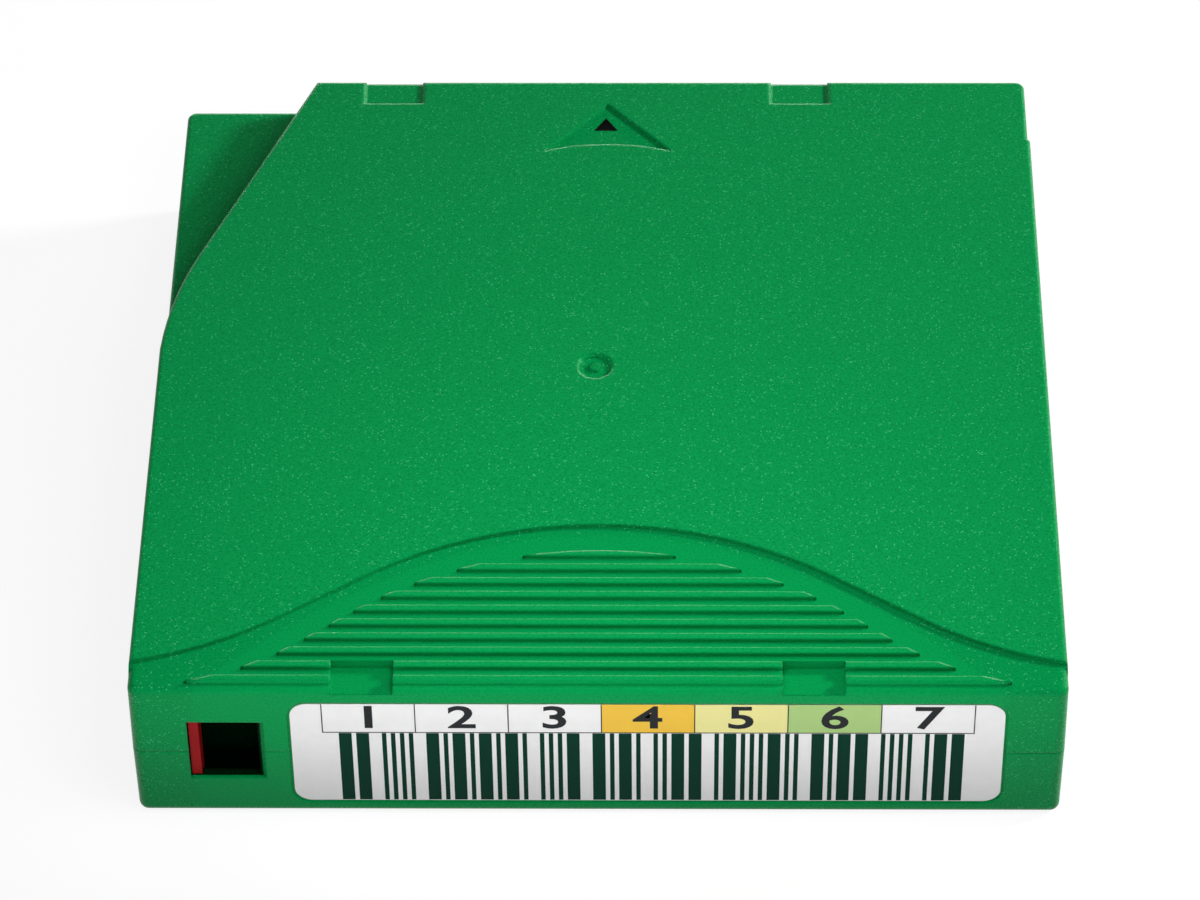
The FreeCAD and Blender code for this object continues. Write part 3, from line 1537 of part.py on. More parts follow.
def build_brake():
    """The brake disc: teeth below that mesh with the hub's, and a post with a cross slot above."""
    body = new_body("brake_disc")
    section = new_sketch(body, "section", "XZ_Plane")
    draw(section, [
        (0, PAD_BOSS_TOP),
        (cell("pad_boss_radius"), PAD_BOSS_TOP),
        (cell("pad_boss_radius") + (BRAKE_LOW - PAD_BOSS_TOP), BRAKE_LOW),
        (cell("brake_disc_radius"), BRAKE_LOW),
        (cell("brake_disc_radius"), BRAKE_TOP),
        (cell("brake_post_radius"), BRAKE_TOP),
        (cell("brake_post_radius"), BRAKE_POST_TOP),
        (0, BRAKE_POST_TOP),
    ])
    revolve(body, section)
    # half a pitch round from the hub's teeth, so that the two rings mesh
    tooth_ring(body, "tooth", BRAKE_LOW, BRAKE_RING_TOP + cell("brake_tip_gap"),
               cell("brake_tooth_base"), cell("brake_tooth_tip"), cell("brake_ring_inner"),
               cell("brake_ring_outer"), cell("brake_teeth"), 180 / cell("brake_teeth"))
    slot = new_sketch(body, "cross_slot", height=BRAKE_POST_TOP)
    gap = cell("key_gap")
    draw(slot, cross_outline(as_size(0), as_size(0), cell("key_half_length") + gap,
                             cell("key_width") / 2 + gap))
    pocket(body, slot, BRAKE_POST_TOP - BRAKE_TOP)
    put(body, REEL_X, REEL_Y)
    return body


# ---------------------------------------------------------------- assembly

build_upper_shell()
build_lower_shell()
for number, (place_x, place_y) in enumerate(SCREW_PLACES, start=1):
    build_screw(number, place_x, place_y)
build_label()
build_chip()
build_tab()
build_door()
build_springs()
build_pin()
build_clip()
build_leader()
build_pin_spring()
build_hub()
build_upper_flange()
build_ring("reel_plate", cell("plate_bore"), cell("plate_radius"),
           FLANGE_LOW - cell("plate_thickness"), cell("plate_thickness"))
build_ring("tape_pack", cell("hub_radius"), cell("pack_radius"), TAPE_LOW, cell("tape_width"))
build_release_pad()
build_brake()

doc.recompute()
for thing in doc.Objects:
    if "Invalid" in thing.State or "Error" in thing.State:
        raise RuntimeError(f"{thing.Name}: {thing.State}")
for node in NODES:
    if node.Shape.isNull() or not node.Shape.isValid():
        raise RuntimeError(f"{node.Label} has no valid shape")

os.makedirs("parts", exist_ok=True)
for node in NODES:
    node.Shape.exportStep(f"parts/{node.Label}.step")
    extent = node.Shape.BoundBox
    print(f"{node.Label:18s} {len(node.Shape.Solids)} solid {node.Shape.Volume:10.1f} mm3  "
          f"x {extent.XMin:7.2f} {extent.XMax:7.2f}  y {extent.YMin:7.2f} {extent.YMax:7.2f}  "
          f"z {extent.ZMin:6.2f} {extent.ZMax:6.2f}")
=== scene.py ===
"""Looks of the data tape cartridge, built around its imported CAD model."""

import json
import math

import bpy
from mathutils import Matrix, Vector

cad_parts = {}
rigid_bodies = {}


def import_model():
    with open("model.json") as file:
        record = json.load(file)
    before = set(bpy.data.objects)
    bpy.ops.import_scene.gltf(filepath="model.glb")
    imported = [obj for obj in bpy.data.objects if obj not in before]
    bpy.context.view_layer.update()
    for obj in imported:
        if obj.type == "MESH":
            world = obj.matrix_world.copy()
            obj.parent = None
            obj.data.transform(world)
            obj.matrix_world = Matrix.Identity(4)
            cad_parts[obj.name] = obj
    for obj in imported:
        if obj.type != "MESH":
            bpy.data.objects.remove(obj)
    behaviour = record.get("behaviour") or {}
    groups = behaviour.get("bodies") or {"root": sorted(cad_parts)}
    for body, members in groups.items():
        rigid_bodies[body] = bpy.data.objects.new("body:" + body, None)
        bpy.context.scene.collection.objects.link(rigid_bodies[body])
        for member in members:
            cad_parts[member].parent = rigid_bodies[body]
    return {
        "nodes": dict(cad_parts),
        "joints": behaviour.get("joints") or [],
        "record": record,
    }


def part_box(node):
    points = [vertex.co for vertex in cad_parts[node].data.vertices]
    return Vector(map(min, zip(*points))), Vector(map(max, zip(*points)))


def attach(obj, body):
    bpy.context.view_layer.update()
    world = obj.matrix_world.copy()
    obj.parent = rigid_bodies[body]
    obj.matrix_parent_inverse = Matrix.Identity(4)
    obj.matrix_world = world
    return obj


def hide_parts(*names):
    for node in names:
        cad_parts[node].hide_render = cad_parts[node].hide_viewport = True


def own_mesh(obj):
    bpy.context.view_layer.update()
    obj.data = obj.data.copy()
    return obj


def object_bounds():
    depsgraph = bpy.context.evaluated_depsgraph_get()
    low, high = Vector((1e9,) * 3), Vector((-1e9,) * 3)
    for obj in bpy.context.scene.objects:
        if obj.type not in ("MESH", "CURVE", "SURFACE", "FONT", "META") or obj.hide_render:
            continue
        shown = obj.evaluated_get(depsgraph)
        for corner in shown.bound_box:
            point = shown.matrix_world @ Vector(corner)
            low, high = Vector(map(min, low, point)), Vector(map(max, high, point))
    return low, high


MM = 0.001

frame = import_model()
nodes = frame["nodes"]
cad_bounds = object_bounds()
case_low, case_high = (Vector(corner) for corner in cad_bounds)


# ---------------------------------------------------------------- node graphs

class Graph:
    """A material's node tree with short calls for the nodes that it needs."""

    def __init__(self, name):
        self.material = bpy.data.materials.new(name)
        self.material.use_nodes = True
        self.tree = self.material.node_tree
        self.shader = self.tree.nodes["Principled BSDF"]
        coordinates = self.tree.nodes.new("ShaderNodeTexCoord")
        self.place = coordinates.outputs["Object"]

    def node(self, kind, inputs=None, **settings):
        """A node with its settings and inputs, given as values or as sockets."""
        made = self.tree.nodes.new(kind)
        for key, setting in settings.items():
            setattr(made, key, setting)
        for key, given in (inputs or {}).items():
            if isinstance(given, bpy.types.NodeSocket):
                self.tree.links.new(given, made.inputs[key])
            else:
                made.inputs[key].default_value = given
        return made

    def math(self, operation, *numbers, clamp=False):
        """The output of a Math node."""
        inputs = dict(enumerate(numbers))
        return self.node("ShaderNodeMath", inputs, operation=operation, use_clamp=clamp).outputs[0]

    def noise(self, scale, detail=2.0, roughness=0.5):
        """The grey output of a noise texture in the part's own space."""
        inputs = {"Vector": self.place, "Scale": scale, "Detail": detail, "Roughness": roughness}
        return self.node("ShaderNodeTexNoise", inputs).outputs["Fac"]

    def ramp(self, factor, stops):
        """The colour output of a ramp over (position, colour) stops."""
        made = self.node("ShaderNodeValToRGB", {"Fac": factor})
        elements = made.color_ramp.elements
        while len(elements) < len(stops):
            elements.new(0.5)
        for element, (position, colour) in zip(elements, stops):
            element.position = position
            element.color = (*colour, 1.0)
        return made.outputs["Color"]

    def mix(self, factor, first, second):
        """The colour between a colour socket and a plain colour."""
        made = self.node("ShaderNodeMix", {"Factor": factor}, data_type="RGBA")
        self.tree.links.new(first, made.inputs[6])
        made.inputs[7].default_value = (*second, 1.0)
        return made.outputs[2]

    def bump(self, height, distance, strength=1.0, softened=None):
        """Feed a height into the shader's normal; distances are in metres."""
        inputs = {"Height": height, "Distance": distance, "Strength": strength}
        if softened:
            edges = self.node("ShaderNodeBevel", {"Radius": softened}, samples=4)
            inputs["Normal"] = edges.outputs[0]
        made = self.node("ShaderNodeBump", inputs)
        self.tree.links.new(made.outputs["Normal"], self.shader.inputs["Normal"])

    def feed(self, **sockets):
        """Set or link the shader's inputs; an underscore stands for a space."""
        for key, given in sockets.items():
            socket = self.shader.inputs[key.replace("_", " ")]
            if isinstance(given, bpy.types.NodeSocket):
                self.tree.links.new(given, socket)
            else:
                socket.default_value = given


def shade(colour, factor):
    """A colour made darker or lighter."""
    return tuple(channel * factor for channel in colour)


# ---------------------------------------------------------------- materials

CASE_GREEN = (0.0015, 0.283, 0.068)
# painted glint colour: a lighter green put into the colour at tiny specks, standing in for sparkle
# of light off the grain
PAINTED_GLINT_GREEN = (0.08, 0.58, 0.26)
# near-black painted shade for the walls inside the case
PAINTED_SHADE_BLACK = (0.0, 0.0, 0.0)

# the grain covers the plateau: it starts behind the curve y = -GRAIN_START - GRAIN_BOW * x * x
GRAIN_START = 27.5 * MM
GRAIN_BOW = 11.5  # per metre
GRAIN_FADE = 1500.0  # per metre: the grain sets in over two thirds of a millimetre


def case_plastic():
    """Green case plastic: spark-eroded grain with tiny painted glints, smooth over the grip ribs,
    and painted shade, near-black, on the walls inside the hollow.
    """
    graph = Graph("case_plastic")
    split = graph.node("ShaderNodeSeparateXYZ", {"Vector": graph.place}).outputs
    bow = graph.math("MULTIPLY", graph.math("MULTIPLY", split["X"], split["X"]), GRAIN_BOW)
    behind = graph.math("ADD", graph.math("ADD", split["Y"], bow), GRAIN_START)
    on_plateau = graph.math("MULTIPLY", behind, GRAIN_FADE, clamp=True)

    mottle = graph.noise(4200.0, detail=2.0, roughness=0.6)
    base = graph.ramp(mottle, [(0.28, shade(CASE_GREEN, 0.80)), (0.72, shade(CASE_GREEN, 1.14))])
    # painted glints: lighter specks mixed into the colour on the grained plateau
    painted_glinting = graph.math("MULTIPLY", painted_glint_mask(graph), on_plateau)
    grain_and_painted_glints = graph.mix(graph.math("MULTIPLY", painted_glinting, 0.6), base, PAINTED_GLINT_GREEN)
    smooth = graph.math("SUBTRACT", 1.0, on_plateau)
    coloured = graph.mix(graph.math("MULTIPLY", smooth, 0.5), grain_and_painted_glints, shade(CASE_GREEN, 1.12))
    # painted shade: the walls inside the case are seen only through its openings, where hardly any
    # light gets in, so their colour is painted near-black by place
    inside = graph.math("LESS_THAN", outside_hollow(graph, split), 0.0)
    graph.feed(
        Base_Color=graph.mix(graph.math("MULTIPLY", inside, 0.95), coloured, PAINTED_SHADE_BLACK),
        Roughness=graph.math("ADD", graph.math("MULTIPLY", mottle, 0.12), 0.22),
        Specular_IOR_Level=0.14,
        Specular_Tint=(0.1, 1.0, 0.5, 1.0),
    )
    grain = graph.math("MULTIPLY", graph.noise(6000.0),
                       graph.math("ADD", graph.math("MULTIPLY", on_plateau, 0.6), 0.4))
    rounding = graph.math("ADD", graph.math("MULTIPLY", on_plateau, 0.15 * MM), 0.35 * MM)
    graph.bump(grain, 0.02 * MM, strength=0.5, softened=rounding)
    return graph.material


def painted_glint_mask(graph):
    """Mask of painted glints, highlights put into the colour: 1 in a few small round specks, and 0
    between them.
    """
    speck = graph.node("ShaderNodeTexVoronoi", {"Vector": graph.place, "Scale": 4800.0})
    near_centre = graph.math("LESS_THAN", speck.outputs["Distance"], 0.45)
    draw = graph.node("ShaderNodeSeparateColor", {"Color": speck.outputs["Color"]}).outputs["Red"]
    chosen = graph.math("GREATER_THAN", draw, 0.94)
    return graph.math("MULTIPLY", near_centre, chosen)


def outside_hollow(graph, split):
    """Metres by which a place lies outside the case's hollow below the guide ledge."""
    wall = 1.6 * MM
    front_wall = 0.5 * MM
    floor = 1.9 * MM
    ledge = 5.3 * MM
    low = case_low + Vector((wall, front_wall, floor))
    high = case_high - Vector((wall, wall, ledge))
    middle = (low + high) / 2
    half = (high - low) / 2
    largest = None
    for index, axis in enumerate("XYZ"):
        away = graph.math("ABSOLUTE", graph.math("SUBTRACT", split[axis], middle[index]))
        beyond = graph.math("SUBTRACT", away, half[index])
        largest = graph.math("MAXIMUM", largest, beyond) if largest else beyond
    return largest


def plain_plastic(name, colour, roughness=0.45, specular=0.4):
    """Moulded plastic with slight mottling and a fine grain."""
    graph = Graph(name)
    mottle = graph.noise(300.0, detail=3.0)
    graph.feed(
        Base_Color=graph.ramp(mottle, [(0.3, shade(colour, 0.9)), (0.7, shade(colour, 1.08))]),
        Roughness=roughness,
        Specular_IOR_Level=specular,
    )
    graph.bump(graph.noise(2500.0), 0.01 * MM)
    return graph.material


def metal(name, colour, roughness=0.3, stretch=(1.0, 1.0, 1.0)):
    """Metal with fine drawing or turning marks."""
    graph = Graph(name)
    mapping = graph.node("ShaderNodeMapping", {"Vector": graph.place, "Scale": stretch})
    marks = graph.node("ShaderNodeTexNoise", {"Vector": mapping.outputs[0], "Scale": 1500.0})
    grey = marks.outputs["Fac"]
    graph.feed(
        Base_Color=graph.ramp(grey, [(0.3, shade(colour, 0.85)), (0.7, shade(colour, 1.1))]),
        Metallic=1.0,
        Roughness=graph.math("ADD", graph.math("MULTIPLY", grey, 0.2), roughness - 0.1),
    )
    graph.bump(grey, 0.004 * MM)
    return graph.material


TAPE_RINGS = 40000.0  # radians of a ring's wave per metre of radius


def tape_film():
    """Dark brown tape, with its turns as fine rings on the pack's flat faces."""
    graph = Graph("tape_film")
    split = graph.node("ShaderNodeSeparateXYZ", {"Vector": graph.place}).outputs
    across = graph.math("SUBTRACT", split["X"], REEL_AXIS.x)
    along = graph.math("SUBTRACT", split["Y"], REEL_AXIS.y)
    square = graph.math("ADD", graph.math("MULTIPLY", across, across),
                        graph.math("MULTIPLY", along, along))
    radius = graph.math("SQRT", square)
    turns = graph.math("SINE", graph.math("MULTIPLY", radius, TAPE_RINGS))
    level = graph.math("ADD", graph.math("MULTIPLY", turns, 0.5), 0.5)
    colour = (0.035, 0.022, 0.016)
    graph.feed(
        Base_Color=graph.ramp(level, [(0.0, shade(colour, 0.7)), (1.0, shade(colour, 1.25))]),
        Roughness=0.25,
    )
    graph.bump(level, 0.004 * MM)
    return graph.material


def film(name, colour, roughness=0.4, specular=0.25):
    """Printed film or ink: an even colour with the slightest mottling."""
    graph = Graph(name)
    mottle = graph.noise(600.0)
    graph.feed(
        Base_Color=graph.ramp(mottle, [(0.3, shade(colour, 0.985)), (0.7, shade(colour, 1.015))]),
        Roughness=roughness,
        Specular_IOR_Level=specular,
    )
    graph.bump(graph.noise(4000.0), 0.002 * MM)
    return graph.material


def dress(material, *names):
    """Give CAD nodes a material."""
    for name in names:
        for slot in nodes[name].material_slots:
            slot.material = material


# ---------------------------------------------------------------- places from the frame

spin = next(joint for joint in frame["joints"] if joint["name"] == "reel_spin")
REEL_AXIS = Vector(spin["pos_m"])

label_low, label_high = (Vector(corner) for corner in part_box("barcode_label"))


# ---------------------------------------------------------------- thin printed shapes

def plate_mesh(name, outlines, low, high, axis):
    """A mesh of thin prisms: flat outlines (lists of 2-D points) carried between two levels."""
    vertices, faces = [], []
    for outline in outlines:
        start = len(vertices)
        count = len(outline)
        for level in (low, high):
            for first, second in outline:
                spot = {"Y": (first, level, second), "Z": (first, second, level)}[axis]
                vertices.append(spot)
        bottom = list(range(start, start + count))
        top = list(range(start + count, start + 2 * count))
        faces.append(list(reversed(bottom)))
        faces.append(top)
        for index in range(count):
            after = (index + 1) % count
            faces.append((bottom[index], bottom[after], top[after], top[index]))
    mesh = bpy.data.meshes.new(name)
    mesh.from_pydata(vertices, [], faces)
    mesh.validate()
    mesh.update()
    return mesh


def add_piece(name, mesh, material, body):
    """Put a mesh into the scene as a piece that rides on a body."""
    piece = bpy.data.objects.new(name, mesh)
    bpy.context.scene.collection.objects.link(piece)
    mesh.materials.append(material)
    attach(piece, body)
    return piece


def rectangle(left, right, low, high):
    """Corners of a rectangle, counter-clockwise from the lower left."""
    return [(left, low), (right, low), (right, high), (left, high)]


# ---------------------------------------------------------------- label print

CELL_COUNT = 7
CELL_LEFT = 3.6 * MM
CELL_PITCH = 10.47 * MM
CELL_HEIGHT = 4.75 * MM
LINE_WIDTH = 0.13 * MM
BAR_LEFT = 5.4 * MM
NARROW_BAR = 0.505 * MM
WIDE_BAR = 1.45 * MM
PRINT_THICKNESS = 0.012 * MM
DIGIT_SIZE = 5.15 * MM
DIGIT_STRETCH = 1.3
DIGIT_WEIGHT = 0.019

WHITE = (0.94, 0.94, 0.94)
CELL_COLOURS = [
    ("orange", (0.90, 0.56, 0.06)),
    ("yellow", (0.86, 0.81, 0.33)),
    ("leaf_green", (0.41, 0.62, 0.22)),
]
FIRST_COLOURED_CELL = 3


def label_cells(face):
    """Coloured cells with plain numbers in them, and the fine lines between all cells."""
    ink = film("label_ink", (0.025, 0.028, 0.03), 0.5, 0.05)
    left = label_low.x + CELL_LEFT
    top = label_high.z
    low = top - CELL_HEIGHT
    for index, (word, colour) in enumerate(CELL_COLOURS):
        start = left + (FIRST_COLOURED_CELL + index) * CELL_PITCH
        outline = rectangle(start, start + CELL_PITCH, low, top)
        mesh = plate_mesh(f"label_cell_{word}", [outline], face, face - PRINT_THICKNESS, "Y")
        add_piece(f"label_cell_{word}", mesh, film(f"print_{word}", colour), "case")
    half = LINE_WIDTH / 2
    right = left + CELL_COUNT * CELL_PITCH
    lines = [rectangle(left - half, right + half, low - half, low + half)]
    for index in range(CELL_COUNT + 1):
        middle = left + index * CELL_PITCH
        lines.append(rectangle(middle - half, middle + half, low + half, top))
    above = face - PRINT_THICKNESS
    mesh = plate_mesh("label_lines", lines, above, above - PRINT_THICKNESS, "Y")
    add_piece("label_lines", mesh, ink, "case")
    for index in range(CELL_COUNT):
        middle = left + (index + 0.5) * CELL_PITCH
        add_digit(str(index + 1), (middle, above, (top + low) / 2), ink)


def add_digit(digit, place, ink):
    """One bold number, stretched sideways, standing on the label's face."""
    curve = bpy.data.curves.new(f"label_digit_{digit}", "FONT")
    curve.body = digit
    curve.align_x = "CENTER"
    curve.align_y = "CENTER"
    curve.size = DIGIT_SIZE
    curve.offset = DIGIT_WEIGHT * DIGIT_SIZE
    curve.extrude = PRINT_THICKNESS / 2
    curve.resolution_u = 4
    piece = bpy.data.objects.new(curve.name, curve)
    piece.location = place
    piece.rotation_euler = (math.pi / 2, 0, 0)
    piece.scale = (DIGIT_STRETCH, 1.0, 1.0)
    bpy.context.scene.collection.objects.link(piece)
    curve.materials.append(ink)
    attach(piece, "case")


def label_bars(face):
    """Two-width bars in nine groups: five bars a group, two of them wide, and one wide gap."""
    groups = 9
    bars_in_group = 5
    edge = label_low.x + BAR_LEFT
    top = label_high.z - CELL_HEIGHT - LINE_WIDTH
    low = label_low.z + 0.1 * MM
    outlines = []
    for group in range(groups):
        first_wide = group % bars_in_group
        second_wide = (first_wide + 1 + group % (bars_in_group - 1)) % bars_in_group
        wide_gap = (3 * group + 1) % (bars_in_group - 1)
        for bar in range(bars_in_group):
            width = WIDE_BAR if bar in (first_wide, second_wide) else NARROW_BAR
            outlines.append(rectangle(edge, edge + width, low, top))
            edge += width + (WIDE_BAR if bar == wide_gap else NARROW_BAR)
    mesh = plate_mesh("label_bars", outlines, face, face - PRINT_THICKNESS, "Y")
    ink = film("bar_ink", (0.002, 0.038, 0.022), 0.5, 0.05)
    add_piece("label_bars", mesh, ink, "case")


# ---------------------------------------------------------------- insertion mark

def insertion_mark():
    """The small black triangle printed in the arrow recess."""
    recess_depth = 0.4 * MM
    apex_inset = 6.6 * MM
    half_width = 1.48 * MM
    length = 2.34 * MM
    middle = 0.12 * MM
    apex = case_high.y - apex_inset
    outline = [
        (middle - half_width, apex - length),
        (middle + half_width, apex - length),
        (middle, apex),
    ]
    floor = case_high.z - recess_depth
    mesh = plate_mesh("insertion_mark", [outline], floor, floor + PRINT_THICKNESS, "Z")
    ink = film("mark_ink", (0.003, 0.003, 0.003), 0.5, 0.05)
    add_piece("insertion_mark", mesh, ink, "case")


# ---------------------------------------------------------------- coil springs

WIRE_THICKNESS = {"brake_spring": 0.9 * MM, "door_spring": 0.4 * MM}
TURNS = {"brake_spring": 4, "door_spring": 18}
END_TURNS = 1
STEPS_IN_TURN = 24
WIRE_SIDES = 8


def coil_level(turn, turns, wire, length):
    """How far along the coil the wire's middle lies: its end turns lie closed, the rest is open."""
    closed_turns = 2 * END_TURNS
    open_pitch = (length - (closed_turns + 1) * wire) / (turns - closed_turns)
    opened = min(max(turn - END_TURNS, 0), turns - closed_turns)
    return wire * (0.5 + turn - opened) + open_pitch * opened


def coil_mesh(node, along, low, high):
    """A helix of round wire about one of the axes, inside a box."""
    wire = WIRE_THICKNESS[node]
    turns = TURNS[node]
    middle = (low + high) / 2
    across, over = (along + 1) % 3, (along + 2) % 3
    length = high[along] - low[along]
    radius = (high[across] - low[across] - wire) / 2
    steps = STEPS_IN_TURN * turns
    vertices, faces = [], []
    for step in range(steps + 1):
        turn = step / STEPS_IN_TURN
        angle = 2 * math.pi * turn
        level = low[along] + coil_level(turn, turns, wire, length)
        for side in range(WIRE_SIDES):
            around = 2 * math.pi * side / WIRE_SIDES
            reach = radius + wire / 2 * math.cos(around)
            spot = Vector()
            spot[along] = level + wire / 2 * math.sin(around)
            spot[across] = middle[across] + reach * math.cos(angle)
            spot[over] = middle[over] + reach * math.sin(angle)
            vertices.append(spot)
    for step in range(steps):
        start = step * WIRE_SIDES
        beyond = start + WIRE_SIDES
        for side in range(WIRE_SIDES):
            after = (side + 1) % WIRE_SIDES
            faces.append((start + side, beyond + side, beyond + after, start + after))
    first_ring = list(range(WIRE_SIDES))
    last_ring = [steps * WIRE_SIDES + side for side in first_ring]
    faces += [first_ring, last_ring[::-1]]
    mesh = bpy.data.meshes.new(f"{node}_coil")
    mesh.from_pydata(vertices, [], faces)
    mesh.validate()
    mesh.shade_smooth()
    return mesh


def add_spring(joint, spring, material):
    """One coil of round wire in place of a spring's node, riding on its joint's parent body."""
    node = spring["node"]
    letter = spring["mode"][-1]
    along = "xyz".index(letter)
    low, high = (Vector(corner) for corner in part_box(node))
    mesh = coil_mesh(node, along, low, high)
    coil = add_piece(mesh.name, mesh, material, joint["parent"])
    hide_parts(node)
    anchor = (low + high) / 2
    anchor[along] = spring[f"fixed_end_{letter}_m"]
    axis = Vector()
    axis[along] = 1.0
    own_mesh(coil)


def add_springs(material):
    """Coils of round wire in place of the springs that shorten as their joint moves."""
    for joint in frame["record"]["behaviour"]["joints"]:
        for spring in joint.get("deforming_nodes", []):
            add_spring(joint, spring, material)


# ---------------------------------------------------------------- stage

WHITE_LEVEL = 1.0
AMBIENT = 0.17
# the floor is seen as a glow plus a matt grey that takes the shadow, and lights as a matt grey
FLOOR_GLOW = 0.86
FLOOR_SHADOWED = 0.2
FLOOR_BOUNCE = 0.35


def largest_of(tree, sockets):
    """The largest of some sockets."""
    result = sockets[0]
    for other in sockets[1:]:
        largest = tree.nodes.new("ShaderNodeMath")
        largest.operation = "MAXIMUM"
        tree.links.new(result, largest.inputs[0])
        tree.links.new(other, largest.inputs[1])
        result = largest.outputs[0]
    return result


def diffuse(tree, grey):
    """A matt grey shader."""
    made = tree.nodes.new("ShaderNodeBsdfDiffuse")
    made.inputs["Color"].default_value = (grey, grey, grey, 1)
    return made.outputs[0]


def background(tree, strength, colour=None):
    """A Background shader, white unless a colour socket is given."""
    made = tree.nodes.new("ShaderNodeBackground")
    made.inputs["Color"].default_value = (1, 1, 1, 1)
    made.inputs["Strength"].default_value = strength
    if colour:
        tree.links.new(colour, made.inputs["Color"])
    return made.outputs[0]


def blend(tree, factor, first, second):
    """A mix of two shaders."""
    made = tree.nodes.new("ShaderNodeMixShader")
    tree.links.new(factor, made.inputs[0])
    tree.links.new(first, made.inputs[1])
    tree.links.new(second, made.inputs[2])
    return made.outputs[0]


def set_world():
    """White to the camera, pale near the horizon in reflections, and a soft grey as light."""
    world = bpy.data.worlds.new("studio")
    bpy.context.scene.world = world
    world.use_nodes = True
    tree = world.node_tree
    tree.nodes.remove(tree.nodes["Background"])
    path = tree.nodes.new("ShaderNodeLightPath").outputs
    direction = tree.nodes.new("ShaderNodeTexCoord").outputs["Generated"]
    split = tree.nodes.new("ShaderNodeSeparateXYZ")
    tree.links.new(direction, split.inputs[0])
    horizon = tree.nodes.new("ShaderNodeValToRGB")
    tree.links.new(split.outputs["Z"], horizon.inputs["Fac"])
    pale, dim = horizon.color_ramp.elements
    pale.position, pale.color = 0.08, (1, 1, 1, 1)
    dim.position, dim.color = 0.4, (0, 0, 0, 1)
    reflected = background(tree, 1.0, horizon.outputs["Color"])
    lit = blend(tree, path["Is Glossy Ray"], background(tree, AMBIENT), reflected)
    seen = largest_of(tree, [path["Is Camera Ray"], path["Is Transmission Ray"]])
    shown = blend(tree, seen, lit, background(tree, WHITE_LEVEL))
    tree.links.new(shown, tree.nodes["World Output"].inputs["Surface"])


def add_floor():
    """A large pale floor with the object's shadow, as white to the camera as the backdrop."""
    half = 3.0
    level = case_low.z - 0.1 * MM
    mesh = bpy.data.meshes.new("floor")
    corners = [(*corner, level) for corner in rectangle(-half, half, -half, half)]
    mesh.from_pydata(corners, [], [(0, 1, 2, 3)])
    floor = bpy.data.objects.new("floor", mesh)
    bpy.context.scene.collection.objects.link(floor)
    material = bpy.data.materials.new("floor")
    material.use_nodes = True
    tree = material.node_tree
    tree.nodes.remove(tree.nodes["Principled BSDF"])
    glow = tree.nodes.new("ShaderNodeEmission")
    glow.inputs["Strength"].default_value = FLOOR_GLOW
    seen = tree.nodes.new("ShaderNodeAddShader")
    tree.links.new(diffuse(tree, FLOOR_SHADOWED), seen.inputs[0])
    tree.links.new(glow.outputs[0], seen.inputs[1])
    path = tree.nodes.new("ShaderNodeLightPath").outputs
    kinds = ("Camera", "Glossy", "Transmission")
    direct = largest_of(tree, [path[f"Is {kind} Ray"] for kind in kinds])
    shown = blend(tree, direct, diffuse(tree, FLOOR_BOUNCE), seen.outputs[0])
    tree.links.new(shown, tree.nodes["Material Output"].inputs["Surface"])
    mesh.materials.append(material)


def softbox(name, place, width, height, power, mirrored=True, towards=None):
    """An area light unseen by the camera, towards the case's middle; in metres and watts."""
    light = bpy.data.lights.new(name, "AREA")
    light.shape = "RECTANGLE"
    light.size = width
    light.size_y = height
    light.energy = power
    lamp = bpy.data.objects.new(name, light)
    lamp.visible_camera = False
    lamp.visible_glossy = mirrored
    lamp.location = Vector(place)
    middle = (case_low + case_high) / 2
    direction = Vector(towards) if towards else middle - lamp.location
    lamp.rotation_euler = direction.to_track_quat("-Z", "Y").to_euler()
    bpy.context.scene.collection.objects.link(lamp)


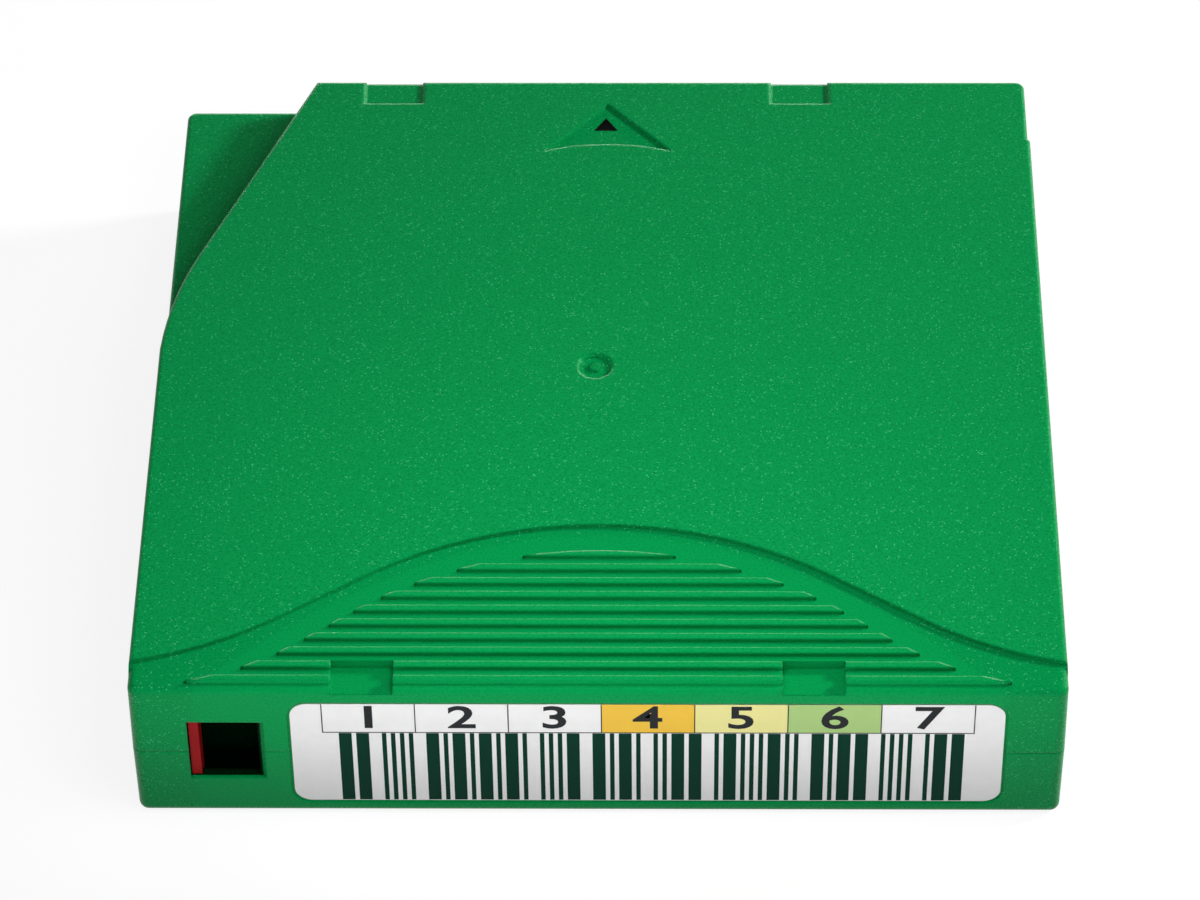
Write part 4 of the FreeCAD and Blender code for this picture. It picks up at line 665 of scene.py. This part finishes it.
def add_camera():
    """The photograph's viewpoint: from the front, high up, through a long lens."""
    elevation = math.radians(45.5)
    heading = math.radians(-1.06)
    roll = math.radians(-0.69)
    distance = 620 * MM
    aside, above = -0.32 * MM, -2.34 * MM
    forward = Vector((math.sin(heading) * math.cos(elevation),
                      math.cos(heading) * math.cos(elevation), -math.sin(elevation)))
    level = Vector((math.cos(heading), -math.sin(heading), 0.0))
    upward = level.cross(forward)
    right = level * math.cos(roll) + upward * math.sin(roll)
    up = upward * math.cos(roll) - level * math.sin(roll)
    target = (case_low + case_high) / 2
    place = target - forward * distance + level * aside + upward * above
    data = bpy.data.cameras.new("camera")
    data.sensor_width = 36.0
    data.lens = 155.25
    data.clip_start = 0.01
    camera = bpy.data.objects.new("camera", data)
    axes = Matrix((right, up, -forward)).transposed().to_4x4()
    camera.matrix_world = Matrix.Translation(place) @ axes
    bpy.context.scene.collection.objects.link(camera)
    bpy.context.scene.camera = camera


# ---------------------------------------------------------------- build

dress(case_plastic(), "upper_shell", "lower_shell")
dress(film("label_white", WHITE), "barcode_label")
dress(plain_plastic("red_plastic", (0.33, 0.008, 0.01), 0.4, specular=0.1), "write_protect_tab")
dress(plain_plastic("door_plastic", (0.02, 0.02, 0.022), 0.5), "door")
dress(plain_plastic("chip_plastic", (0.03, 0.03, 0.035), 0.45), "memory_chip")
dress(plain_plastic("clip_plastic", (0.75, 0.74, 0.7)), "tape_clip", "release_pad")
dress(plain_plastic("reel_plastic", (0.62, 0.62, 0.6)), "reel_hub", "upper_flange")
dress(plain_plastic("brake_plastic", (0.7, 0.69, 0.65)), "brake_disc")
dress(metal("screw_steel", (0.28, 0.28, 0.29), 0.4),
      *(name for name in nodes if name.startswith("case_screw")))
dress(metal("pin_steel", (0.6, 0.6, 0.61), 0.25, (0.05, 0.05, 1.0)), "leader_pin")
dress(metal("plate_steel", (0.5, 0.5, 0.5), 0.35, (1.0, 0.1, 1.0)), "reel_plate")
spring_wire = metal("spring_wire", (0.55, 0.55, 0.56), 0.3)
dress(spring_wire, "pin_spring")
dress(tape_film(), "tape_pack", "leader_tape")

label_face = label_low.y
label_cells(label_face)
label_bars(label_face)
insertion_mark()
add_springs(spring_wire)

set_world()
add_floor()
softbox("key", (0.504, 0.164, 0.29), 0.09, 0.09, 2.9)
softbox("rim", (0.15, 0.72, 0.085), 1.2, 0.08, 5.0)
softbox("overhead", (0.12, -0.27, 0.45), 0.35, 0.35, 0.216, mirrored=False)
softbox("crown", (0.0, -0.06, 0.11), 0.06, 0.05, 0.055, mirrored=False)
softbox("front_strip", (0.0, -0.075, 0.018), 0.13, 0.01, 0.0145, mirrored=False,
        towards=(0.0, 1.0, 0.577))
add_camera()
bpy.context.scene.view_settings.view_transform = "Standard"
